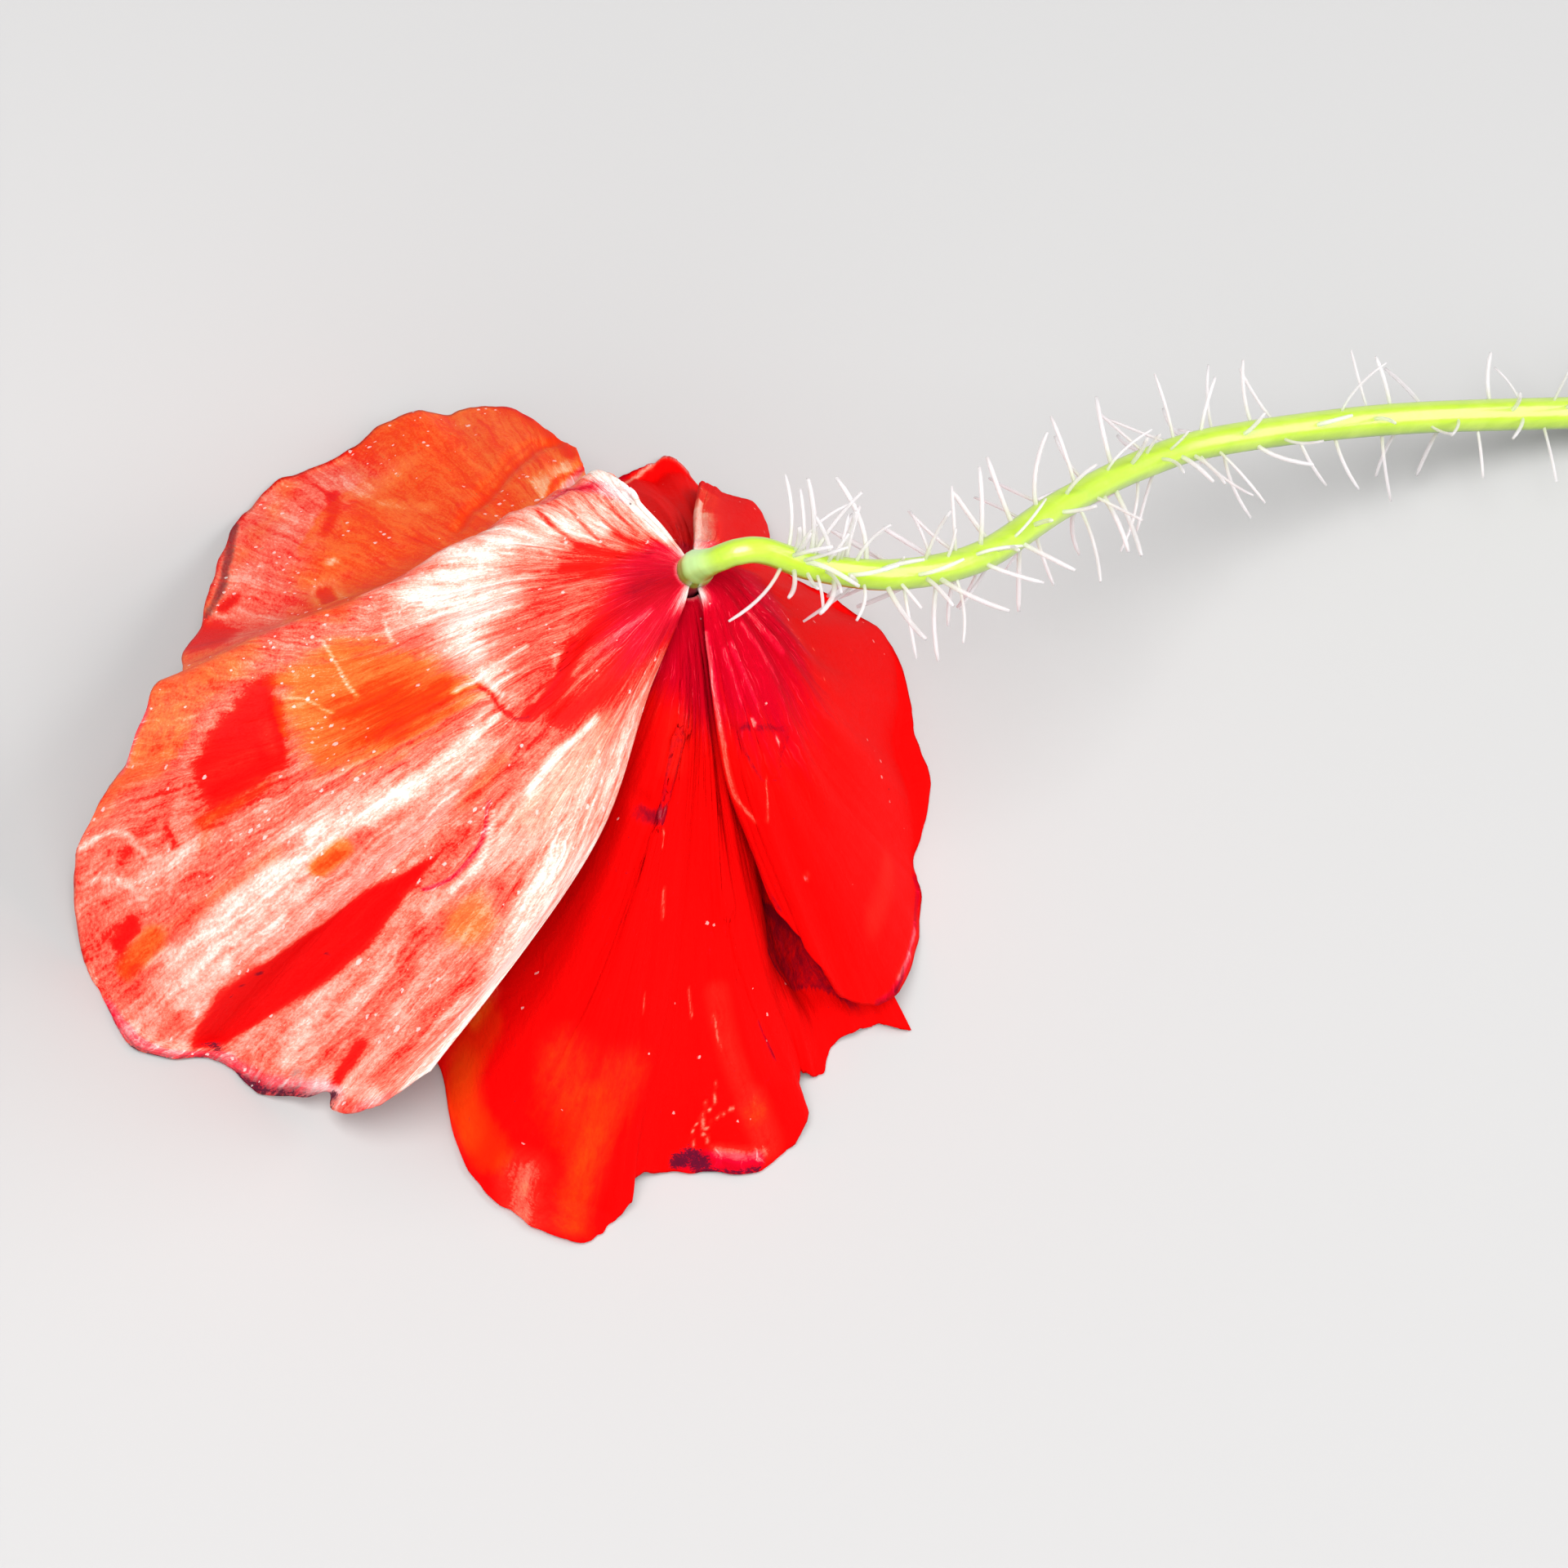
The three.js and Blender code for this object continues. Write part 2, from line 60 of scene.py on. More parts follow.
def add_camera():
    data = bpy.data.cameras.new("camera")
    data.lens, data.sensor_width = LENS, SENSOR_WIDTH
    data.clip_start, data.clip_end = 0.01, 20
    camera = add_object("camera", data)
    turn = Matrix((CAMERA_RIGHT, CAMERA_UP, CAMERA_BACK)).transposed().to_4x4()
    camera.matrix_world = Matrix.Translation(Vector((CAMERA_PLACE + HUB) * MM)) @ turn
    bpy.context.scene.camera = camera


# ---- numbers ------------------------------------------------------------------
def smooth(x):
    x = np.clip(x, 0, 1)
    return x * x * (3 - 2 * x)


def points_of(text):
    """The points that a line of text gives, as in "1,2 3,4"."""
    return np.array([point.split(",") for point in text.split()], float)


def unit(v):
    return v / np.maximum(np.linalg.norm(v, axis=-1, keepdims=True), 1e-9)


def noise(seed, x, y):
    """Smooth seeded noise from -1 to 1, one hill or hollow to each unit square."""
    table = np.random.RandomState(seed).uniform(-1, 1, (64, 64))
    x, y = np.broadcast_arrays(np.asarray(x, float), np.asarray(y, float))
    i, j = np.floor(x).astype(int), np.floor(y).astype(int)
    u, v = smooth(x - i), smooth(y - j)
    at = lambda a, b: table[(i + a) % 64, (j + b) % 64]
    return ((at(0, 0) * (1 - u) + at(1, 0) * u) * (1 - v)
            + (at(0, 1) * (1 - u) + at(1, 1) * u) * v)


def polar(r, a, z):
    """The point at a radius, an angle and a height about the flower's axis."""
    return np.array([r * math.cos(a), r * math.sin(a), z])


def catmull(a, b, c, d, f):
    return 0.5 * (2 * b + (c - a) * f + (2 * a - 5 * b + 4 * c - d) * f ** 2
                  + (3 * b - a - 3 * c + d) * f ** 3)


def through(points, u):
    """A smooth curve through points, u from 0 to their number less one."""
    points = np.asarray(points, float)
    n = len(points)
    ends = np.concatenate([2 * points[:1] - points[1:2], points, 2 * points[-1:] - points[-2:-1]])
    u = np.atleast_1d(u)
    k = np.clip(np.floor(u).astype(int), 0, n - 2)
    f = (u - k).reshape(-1, *([1] * (points.ndim - 1)))
    return catmull(ends[k], ends[k + 1], ends[k + 2], ends[k + 3], f)


# ---- petals -------------------------------------------------------------------
# Each petal is a fan of ribs from margin to margin. A rib is where the petal
# runs near the claw, half way out, and at the rim, each as x,y,z in mm.
LEFT_RIBS = [
    "-3.5,-4,23.6 -9,-10.5,17.6 -19.75,-17,7", "-6.5,-5.5,23.6 -14,-12.5,16.8 -23.5,-16.25,3.6",
    "-9,-6,23.8 -18,-10.5,16.2 -26.75,-13,0.8", "-11,-4.5,24 -21.5,-7.5,16.2 -31.75,-9.5,-2.2",
    "-11.5,-2.5,24.2 -23,-3.5,16.6 -33.5,-3.25,-0.6", "-10.5,-0.5,24.2 -21.5,-0.5,18 -32.1,3.5,4.8",
    "-10,1,24 -21,2,17.8 -30.1,5,12.2", "-9,2.5,24 -19,4.5,18.2 -26.75,9,15.2",
    "-8,3.5,24 -17,7,18.8 -26.75,15.25,17", "-6.5,4.5,24.4 -15.5,11,20 -25,23.75,20",
    "-5,5,25 -12.5,14.5,22 -22.25,31.5,23", "-3.5,5.5,25.4 -10,17.5,24 -17,34.5,25.8",
    "-2.5,6,26 -7,18.5,25.2 -11.25,36,27.6", "-1.5,6,26.6 -4.5,16.5,25.8 -5.75,34.5,28.2",
    "-1,5,27 -2.5,12,25.4 -2.5,25.5,27",
]
BOTTOM_RIBS = [
    "-3.2,-3.9,20.4 -9.4,-6.8,9.6 -15.75,-10.25,0.8", "-2.9,-4.9,20.2 -9,-11,10 -16.5,-14.5,0.2",
    "-2,-6,20 -9.5,-15.5,10.4 -17.75,-21.5,0.2", "-2,-6.5,19.8 -9,-17,10.6 -15.5,-25,-2",
    "-2,-7,19.6 -8,-18,10.4 -13,-28.25,-2.2", "-1.5,-7,19.4 -6.5,-18.5,9.8 -10,-27,0.4",
    "-1,-7,19.2 -4.5,-18,9 -8.25,-25.75,1", "-0.5,-7,19 -3,-18,8.4 -4.5,-26.75,0.4",
    "0,-7,19 -1,-18,8.6 0,-27.5,-0.2", "0.5,-6.5,18.8 0.4,-17.4,9.8 3.25,-25.75,1.2",
    "1,-6.5,18.6 2.2,-16.3,9 4.25,-22.5,1", "2,-5.5,18.4 4.2,-14.8,7.6 5.5,-23.5,0.2",
    "2.5,-5.5,18.2 6.2,-12.5,6.3 8.25,-21.75,0.4", "3,-5,18.2 8.1,-11.3,5.5 10.25,-21.75,0.6",
    "3.5,-4.5,18.2 10,-9,4.6 12.5,-23,-0.2",
]
RIGHT_RIBS = [
    "-0.25,-4,24.8 0.5,-9.5,17.8 3,-14.75,11.6", "0.25,-4.5,24.8 1.5,-11,17.4 4.75,-18.25,8.6",
    "1,-4.75,24.6 3,-11.5,16.8 7.5,-20.75,4.6", "1.5,-4.75,24.4 5,-11.5,16 11.75,-21,2.4",
    "2.75,-4.25,24.2 7,-11,15.2 17.25,-15.5,-0.2", "3.5,-3.5,23.8 9,-9.5,14.6 18.5,-12.75,0.4",
    "4,-3,24 10.5,-7.5,14.4 21.75,-8,-2", "4.5,-2.5,24 11.5,-5,14.4 22.75,-3,-1",
    "4.5,-1.5,24.2 11.5,-2,14.4 23.5,1.75,0.4", "4.5,-0.5,24.4 11.5,0.5,14.8 21.5,5.25,-0.2",
    "4,0.5,24.4 10.5,3,15.2 19.1,9.1,0.4", "3.25,1.5,25.3 9.5,5.5,15.6 19,13,0.4",
    "2.75,2,25.8 8,7,16.4 17,14.5,1.6", "1.5,2.25,26.1 6.5,7,17.6 14.5,14,4.2",
]
TOP_RIBS = [
    "5,2.5,20.2 9.6,5.1,11.4 14.6,10.2,0.7", "4.75,3,20.3 9.75,6.5,11 15.6,12.8,0.3",
    "4.5,3.5,20.5 9.75,8,10.8 16.2,16.2,0.2", "4,4,20.6 9.5,9.5,10.8 15,18.1,-1.6",
    "3.5,4.5,20.8 8.5,10.75,10.8 12.4,17.6,-0.6", "3,4.5,21 7.25,11.5,10.6 9.6,17.2,1.2",
    "2.25,4.75,21 5.5,12,10.4 6.75,18.5,-0.2", "1.5,4.75,21 3.75,12,10 3.75,18.75,0.4",
    "0.75,4.75,21.2 1.75,12,9.6 1,18.5,0.6",
]
CLAW_RADIUS, CLAW_PACE = 0.9, 4.0
THIN = 0.26      # thickness of a petal
LOWEST = 0.02    # height of the lowest point over the surface
# The wide left petal is folded back along one crease and hangs down behind it: round
# by an angle, then straight for some mm, then bending out again to its flare.
FOLD = dict(start=(-29.5, 6.7, 13.5), end=(-3, 6.3, 25.2), out=(-0.42, -0.26, 0.87),
            radius=1.6, angle=80, straight=7, flare_radius=10, flare=54)


def fold_back(p):
    """The points of the left petal beyond its crease turned down behind it."""
    start, n = np.array(FOLD["start"]), np.array(FOLD["out"])
    a = unit(np.array(FOLD["end"]) - start)
    n = unit(n - a * (n @ a))
    w = -np.cross(a, n)
    q = p - start
    along, d, above = q @ a, q @ w, q @ n
    radius, straight, wide = FOLD["radius"], FOLD["straight"], FOLD["flare_radius"]
    steep, flare = math.radians(FOLD["angle"]), math.radians(FOLD["flare"])
    # round the crease, then straight down, then flaring out again
    round_it = np.clip(d / radius, 0, steep)
    x = np.where(d < 0, d, radius * np.sin(round_it))
    z = -radius * (1 - np.cos(round_it))
    down = np.clip(d - radius * steep, 0, straight)
    x, z = x + down * math.cos(steep), z - down * math.sin(steep)
    rest = np.maximum(d - radius * steep - straight, 0)
    back = np.clip(rest / wide, 0, steep - flare)
    x = x + wide * (math.sin(steep) - np.sin(steep - back))
    z = z - wide * (np.cos(steep - back) - math.cos(steep))
    last = np.maximum(rest - wide * (steep - flare), 0)
    x, z = x + last * math.cos(flare), z - last * math.sin(flare)
    turn = np.where(d <= 0, 0, round_it - back)
    x, z = x + above * np.sin(turn), z + above * np.cos(turn)
    return start + along[..., None] * a + x[..., None] * w + z[..., None] * n


class Petal:
    def __init__(self, name, ribs, claw, grooves, ripple, ruffle, fold=False):
        self.name, self.fold = name, fold
        self.grooves, self.ripple, self.ruffle = grooves, ripple, ruffle
        ribs = np.array([points_of(rib) for rib in ribs])
        angle = np.radians(np.linspace(claw[0], claw[1], len(ribs)))
        root = np.stack([CLAW_RADIUS * np.cos(angle), CLAW_RADIUS * np.sin(angle),
                         np.full(len(ribs), claw[2])], -1)
        self.ribs = np.concatenate([root[:, None], ribs], 1)

    def flat(self, s, t):
        """Points of the petal before it is folded back; s across it, t outward."""
        s, t = np.broadcast_arrays(np.asarray(s, float), np.asarray(t, float))
        rib = through(self.ribs, s.ravel() * (len(self.ribs) - 1))
        out = unit(rib[:, 0] * [1, 1, 0])
        ends = np.concatenate([rib[:, 1:2] - 2 * CLAW_PACE * out[:, None], rib,
                               2 * rib[:, -1:] - rib[:, -2:-1]], 1)
        u = t.ravel() * 3
        k = np.clip(np.floor(u).astype(int), 0, 2)
        f, i = (u - k)[:, None], np.arange(len(k))
        p = catmull(ends[i, k], ends[i, k + 1], ends[i, k + 2], ends[i, k + 3], f)
        return p.reshape(*s.shape, 3)

    def relief(self, s, t):
        h = np.zeros(s.shape)
        for at, width, depth, start in self.grooves:
            h -= depth * np.exp(-((s - at) / width) ** 2) * smooth((t - start) / 0.35)
        a, k, p = self.ripple
        h += a * np.sin(2 * math.pi * k * s + p + 1.3 * np.sin(9 * s)) * smooth(t / 0.5)
        a, k, p, start = self.ruffle
        h += (a * np.sin(2 * math.pi * k * s + p + 1.1 * np.sin(20.7 * s + 1))
              * smooth((t - start) / (1 - start)) ** 1.5)
        return h


# After its ribs, a petal has its claw: from and to which bearing, and at what height.
# A groove is (place across, half width, depth in mm, start outward). Ripples are
# (height in mm, waves across, phase), and the ruffle at the rim also has its start.
PETALS = [
    Petal("petal_left", LEFT_RIBS, (231, 89, 27.0),
          [(0.195, 0.032, 2.1, 0.3), (0.1, 0.03, 0.6, 0.3), (0.33, 0.03, -0.5, 0.3),
           (0.055, 0.02, -0.4, 0.4), (0.4, 0.03, 0.5, 0.45), (0.8, 0.03, 0.7, 0.55), (0.7, 0.02, -0.5, 0.6)],
          (0.1, 11, 0.4), (0.3, 5, 0.7, 0.75), fold=True),
    Petal("petal_bottom", BOTTOM_RIBS, (-150, -66, 25.6),
          [(0.33, 0.04, 0.45, 0.2), (0.48, 0.04, 0.45, 0.2), (0.15, 0.04, 0.3, 0.3), (0.67, 0.03, 0.5, 0.2)],
          (0.08, 9, 0.9), (0.3, 6, 0.3, 0.74)),
    Petal("petal_right", RIGHT_RIBS, (-97, 61, 27.0),
          [(0.34, 0.04, 0.3, 0.4), (0.52, 0.05, 0.35, 0.4), (0.75, 0.04, 0.3, 0.4)],
          (0.1, 10, 0.1), (0.3, 4, 0.2, 0.7)),
    Petal("petal_top", TOP_RIBS, (28, 112, 25.6), [(0.4, 0.04, 0.5, 0.3), (0.7, 0.04, 0.5, 0.3)],
          (0.06, 6, 0.4), (0.1, 3, 0.5, 0.7)),
]


def grid_normals(p):
    i = np.r_[1:p.shape[0], p.shape[0] - 1]
    i0 = np.r_[0, 0:p.shape[0] - 1]
    j = np.r_[1:p.shape[1], p.shape[1] - 1]
    j0 = np.r_[0, 0:p.shape[1] - 1]
    n = unit(np.cross(p[i] - p[i0], p[:, j] - p[:, j0]))
    return n if n[..., 2].sum() > 0 else -n


# What each petal shows, drawn on its own flat shape. Six fields run over a petal:
# level    how pale the red is, 0 deep red to 1 cream white: bleaching, and painted sheen and highlights
# orange   how far the red leans to orange
# magenta  how far it leans to crimson, as it does about the claw
# purple   bruises, and painted shade in creases and hollows
# dry      burnt, dried-up rim
# crease   depth in mm of sharp folds pressed into the surface
# A mark is (points, width, value) or (points, width, value, edge): a line through
# points, or a round spot at one point, with a half width in mm, the value that it
# brings, and how soft its edge is, 0.1 sharp to 1 faint. With width 0 the points run
# round an area, and the edge is as soft as so many mm. A point is how far across
# and how far outward it lies, in hundredths of the petal.
FIELDS = ("level", "orange", "magenta", "purple", "dry", "crease")
PAINTED = FIELDS[:5]
# Lines and outlines that more than one field of the left petal uses.
FLAP, FLAP_TIP = "57,66 70,60 90,50 102,50 102,105 57,105", "57,80 68,88 80,93 80,105 57,105"
SLIT, DENT = "18,49 16.2,53 15.3,57 15.3,62 16.5,66", "36,72 33.5,77 32.5,82 35,84"
LEFT_MARKS = {"level": [
    # the flap behind the fold, whose orange is partly its own colour and partly painted glow of light
    # through the thin petal
    (FLAP, 0, 0.32, 1.5),
    (FLAP_TIP, 0, 0.45, 2), ("72,74 76,73 84,72 90,78", 2.2, 0.27),
    ("63,96 66,95", 1.2, 0.55), ("78,90 82,90", 1, 0.5), ("62,101 72,101 82,101 94,101 101,95", 0.45, 0.1),
    ("68,82.5 66,78", 0.95, 0.52, 0.5), ("67.5,82 66,78.5", 0.5, 0.08, 0.4),
    ("76,92.5 74.5,89 72.5,87.5", 0.35, 0.12), ("63.8,95.5 63,96.5", 0.5, 0.05),
    ("47,90 55,88 61.5,94 62,105 47,105", 0, 0.1, 0.7), ("60,98.5 58.5,96", 0.8, 0.04),
    ("70.2,83.5", 0.42, 0.85), ("90,68 91,76 95,84 99,94 102,90 102,60 94,58", 0, 0.66, 0.8),
    ("98,98 92,84 86,76 80,72", 0.26, 0.14), ("94,90 89,81 85,77", 0.16, 0.2), ("80,80 78,86", 0.5, 0.48),
    # the coral half way out, then the zones of the blade, whose white and pale zones are bleaching together
    # with painted sheen
    ("5,14 30,15 60,16 80,14 76,36 62,42 57,37 46,38 30,36 20,42 10,36", 0, 0.38, 1.6),
    ("80,12 88,20 86,34 74,40 69,46 64,52 60,58 57,57 52,49 44,44 34,41 31,36 38,38 46,38 49,35 57,35 "
     "62,41 66,38 74,30", 0, 0.92, 1.6),
    ("50,77 54,66 51,55 40,45 32,40 29.5,46 29,53 33,66 40,70", 0, 0.42, 1.2),
    ("44,64 45,55 43,49 38,55 39,62", 0, 0.14, 0.9), ("36,61 39,52 38,46 33,46 31,53", 0, 0.16, 0.9),
    ("52,76 48,84 42,88 36,88 36,105 58,105 56,78", 0, 0.44, 1.2),
    ("37,99 34,90 31,87 30,96 31,105 37,105", 0, 0.42, 0.6),
    ("30,39 27.5,45 27.2,53 28.5,61 29.2,71 28,77 28,84 28,92 27,89 26,81 25.2,75 25.5,67 24.8,61 23.5,54 "
     "23,45 24,42", 0, 0.92, 1),
    ("24,47 25,65 26,81 26.2,92 22.5,91 21.5,77 20,66 19,62 19,52", 0, 0.68, 0.8),
    ("32,95 30,86 33,80 35,84", 0, 0.6, 0.8), ("46,86 42,88 36,86.5", 0.4, 0.5),
    ("47,73 42,69 36,69", 1, 0.45),
    ("48,81 49,77 44,71.5 37,71.5 35,75 34.5,79 36,83 41,86 44,85", 0, 0.04, 0.45),
    (DENT, 0, 0.25, 0.9), ("40,77 39,84", 0.4, 0.16),
    ("44,75 40,73.5", 0.35, 0.16), ("28,69 29,79 28.5,88", 0.5, 0.5),
    ("22,41 21.5,46 20,53 18.5,50 20,43", 0, 0.34, 0.6),
    ("9,30 13,32 17,38 16,50 14,60 10,58 8,44", 0, 0.72, 0.8),
    ("17,68 16.5,80 17,93 13,105 8,105 9,80 10,66 14,60", 0, 0.6, 0.8),
    ("14,68 12,64 8.5,68 8,73 11,74", 0, 0.5, 1), ("13,78 11.5,86 12,93", 0.8, 0.42),
    ("15,70 14,76", 0.5, 0.4), ("16.8,78 16,88 15,95", 0.45, 0.8),
    ("2,40 7,42 8.8,51 8,60 7.5,70 6,78 5,85 3.5,92 3,105 -5,105 -5,40", 0, 0.92, 0.8),
    ("-5,30 9,36 10,50 5,60 -5,62", 0, 0.68, 1.5), ("12,98 9,97 6,98", 0.6, 0.72),
    ("25,69 25,65.5", 0.45, 0.24), ("25.2,65 25,62", 0.3, 0.5),
    ("17.6,61.5 18.8,66 19.9,70.5 20.8,75 21.8,79 22.8,83 23.1,87.5 22.6,93 21.8,96.5 20,95.5 18.4,91 "
     "17.3,86 16.8,81.5 16.4,77.5 16.5,73 16.9,69 17.3,64.5", 0, 0, 0.25),
    ("30.5,92.5 30,95", 0.5, 0.05, 0.4), ("35,87.5 33.5,86", 0.22, 0.1), ("36,90 34,94", 0.3, 0.22),
    ("29,90 28.5,95", 0.6, 0.3), ("11.2,90 10.8,96", 0.35, 0.1),
    # pale scratches and the crimson crease with its pale side
    ("27,37.5 26.2,42 26,47", 0.14, 0.9), ("35,45 36,39 37,32", 0.12, 0.8),
    ("54,69 50,64.5 44,59", 0.08, 0.72), ("47,73 46,68 43,63", 0.08, 0.62),
    ("24,85 25,82 25,79", 0.08, 0.85), ("24,79 24,76", 0.08, 0.85), ("56,59 52,56", 0.08, 0.8),
    ("36,100 36.2,95 34,90", 0.16, 0.75), ("34,99 33,93 31,90", 0.14, 0.75),
    ("16.8,50 15,55 14.2,60 14.5,64", 0.12, 0.9), (SLIT, 0.08, 0.25),
    ("14.5,30 16,38 15.5,45", 0.25, 0.95),
    # the crumple by the claw and the one at the top of the fold: painted shade in their creases, and painted
    # highlights on the pale sides of the crumple by the claw
    ("33,24 28,26 24.5,29 24,34", 0.3, 0.06), ("23.5,27 22.8,31 23.5,35 27,36.5 31,38 34.5,41", 0.13, 0.15),
    ("32,27 27,28 25.5,32", 0.14, 0.8), ("30,36 34,39", 0.12, 0.9), ("78,37 75,30 69,20", 0.12, 0.5),
    ("83,38 80,28 76,16", 0.12, 0.5), ("74,41 71,32 66,22", 0.12, 0.3), ("87,34 84,22", 0.12, 0.4),
    ("75,45 81,41 85,39 89,36", 0.16, 0.2), ("90,38 93,32", 0.12, 0.3),
    ("88,66 92,72 96,83 100,94", 0.2, 0.2), ("93,64 99,76", 0.14, 0.3), ("90,60 95,56 100,55", 0.16, 0.25),
    ("94,68 100,70", 0.12, 0.35),
], "orange": [
    # the flap's orange: partly its own colour, partly painted glow of light through the petal
    (FLAP, 0, 0.8, 1.5),
    (FLAP_TIP, 0, 0.1, 2.5),
    ("50,77 54,66 51,55 42,45 32,40 29.5,46 29,53 33,66 40,70", 0, 0.85, 1.4),
    ("52,78 46,88 40,92 37,105 58,105 56,80", 0, 0.6, 1), (DENT, 0, 0.6, 0.9),
    ("14,68 12,64 8.5,68 8,73 11,74", 0, 0.7, 1.2), ("20,51 21,42", 0.8, 0.4), ("25,69 25,65", 0.6, 0.9),
    ("28.5,72 28.8,93", 0.6, 0.4), ("29,90 28.5,95", 0.8, 0.8), ("10,34 13,50", 1.4, 0.35),
], "magenta": [
    ("27,99 24,98.5 21.3,98.5 18,98.5 14.7,99 10,98.5", 0.8, 0.9, 1), ("10,100 3,100", 0.5, 0.5),
    ("75,45 85,39 93,32", 0.5, 0.8), ("90,62 96,80 100,94", 0.5, 0.6),
    ("60,101 72,101 85,101 96,101", 0.4, 0.5), ("42,101 47,101", 0.4, 0.8),
    (SLIT, 0.2, 0.8),
    ("33,24 28,26 24.5,29 23.5,35 27,36.5 34,40", 0.25, 0.35),
], "purple": [
    # painted shade: the hollow beside the claw, and the creases of both crumples
    ("47,5 43,9 40,12", 0.9, 0.5, 1), ("52,5 55,10", 0.6, 0.4, 1), ("29,26.2 26.2,28 24.6,30", 0.16, 0.5),
    ("23.5,34 25,36.2 27,36.6", 0.14, 0.6), ("32,38.5 34.5,41", 0.1, 0.4), ("86,39 90,37", 0.12, 0.5),
    ("22.2,84", 0.2, 0.9), ("22.4,86", 0.14, 0.9), ("18.3,80", 0.2, 0.8), ("17.8,78", 0.12, 0.8),
    ("20,86", 0.1, 0.7), ("62,99 65,98 70,100", 0.35, 0.8),
    ("27,99.5 24,99.5 21.3,99 18,99 14.7,99.5 10,99", 0.55, 0.72, 1), ("77,100", 0.3, 0.5),
    ("15,96.5 12,96", 0.6, 0.45),
], "dry": [
    ("20.5,95 19.5,96.5", 0.55, 0.9, 1), ("24,100 19,100 14,100 10,100", 0.38, 0.7), ("10,98.5", 0.25, 1),
], "crease": [
    ("33,24 28,26 24.5,29 24,33", 0.8, 0.5), ("24,34 26,36.2 31,38 34.5,41", 0.5, 0.3),
    (SLIT, 0.4, 0.3), ("16.5,50 14.5,56 14,62", 0.5, -0.2),
    ("36,100 36.2,95 34,90", 0.5, -0.2), ("34,99 33,93 31,90", 0.5, -0.2),
    ("48,82 46,86 42,89", 0.6, -0.25), ("47,73 42,69 36,69", 0.6, -0.2), ("78,37 75,30 69,20", 0.4, 0.15),
    ("83,38 80,28 76,16", 0.4, 0.18), ("75,45 85,39 93,32", 0.5, 0.25), ("90,62 96,80 100,94", 0.5, 0.25),
    ("98,98 92,84 86,76 80,72", 0.5, 0.2), ("94,90 89,81 85,77", 0.4, 0.12),
]}
BOTTOM_MARKS = {"level": [
    ("9,95 12,98", 1.2, 0.16), ("7,84 7.5,90", 0.4, 0.3), ("20,93 21,96 21.5,99", 1.1, 0.4, 1),
    ("27,80 27,90 26,97", 1, 0.16, 1), ("18,77 24,80 30,76", 1.6, 0.12), ("55,68 56,80 57.5,90", 0.6, 0.15),
    ("57.2,88 58,97", 0.8, 0.2), ("23,30 26,37", 0.7, 0.12), ("23.5,43.4 24.5,44.4", 0.16, 0.6),
    ("28,45.5 30,47.5", 0.08, 0.5), ("35,52 36,55", 0.08, 0.35), ("49,66 50,71", 0.07, 0.4),
    ("54,71 54.5,77", 0.07, 0.4), ("34,65 34.5,67", 0.07, 0.4),
    ("53,83 52.5,87 51.5,88 50.5,90", 0.055, 0.6), ("55,87.5 53.5,88.5 52,90 51,93", 0.055, 0.6),
    ("50.5,90 49.8,93 50.2,95.5", 0.06, 0.6), ("51.5,86 51,92", 0.05, 0.5),
    ("51.2,90 51.4,93 51.8,95", 0.07, 0.5), ("52.5,95.8 57,97.2", 0.4, 0.42, 1),
], "orange": [
    ("8,88 10,96 15,95", 1.4, 0.9), ("18,77 24,84 32,76", 2, 0.4), ("27,80 27,97", 1.2, 0.6, 1),
    ("20,95", 1, 0.3), ("57.5,90", 1.2, 0.4),
], "magenta": [
    ("86,60 83,63 80,67", 0.3, 0.9), ("64,80 64.5,87", 0.4, 0.8), ("24.5,43 26,44.5", 0.2, 0.9),
    ("49,97.5 56,98", 0.7, 0.9),
], "purple": [
    # painted shade along the J-shaped crease
    ("12,46.7 17,45.6 23,44.2", 0.55, 0.72, 1), ("19,45.2 23.5,43.7", 0.35, 0.9, 1),
    ("24,42.5 26.2,40 28.5,37.5 27.5,34.5 20,32.5", 0.34, 0.66, 1),
    ("12,34 20,33.5 25,36 22,40 14,42", 0, 0.3, 1.2),
    # painted shade: the dark hollow under the right petal's rim, with its veins
    ("76,65 72.5,72 81,84 88,95 92,99 92,90 87,78 81,67", 0, 0.62, 0.35),
    ("80,66 86,79 90,91", 0.3, 1, 0.5), ("73,71 77,79 83,87", 0.12, 0.85), ("65,84 64.5,88", 0.35, 0.5),
    ("63,70 64,80", 0.3, 0.3), ("66,62 68,72", 0.5, 0.25), ("46,93", 0.12, 0.7), ("47.5,94.5", 0.12, 0.7),
    ("32.6,83.2", 0.2, 0.4, 0.2), ("38,55 39,70", 0.25, 0.2), ("20,50 21,66", 0.2, 0.18),
], "dry": [
    ("48,98 49.5,96.5 51,98.5", 0.5, 0.9, 1), ("50,99.5 56,99.5", 0.3, 0.7, 1),
], "crease": [
    ("12,45.5 20,45 25,42 29.2,37.5 28.5,33", 0.6, 0.35), ("62,62 63.5,72 64.5,88", 1, 0.5),
    ("80,60 79,72 83,84", 1.6, 0.7), ("50,93 52,97", 0.8, 0.3),
]}
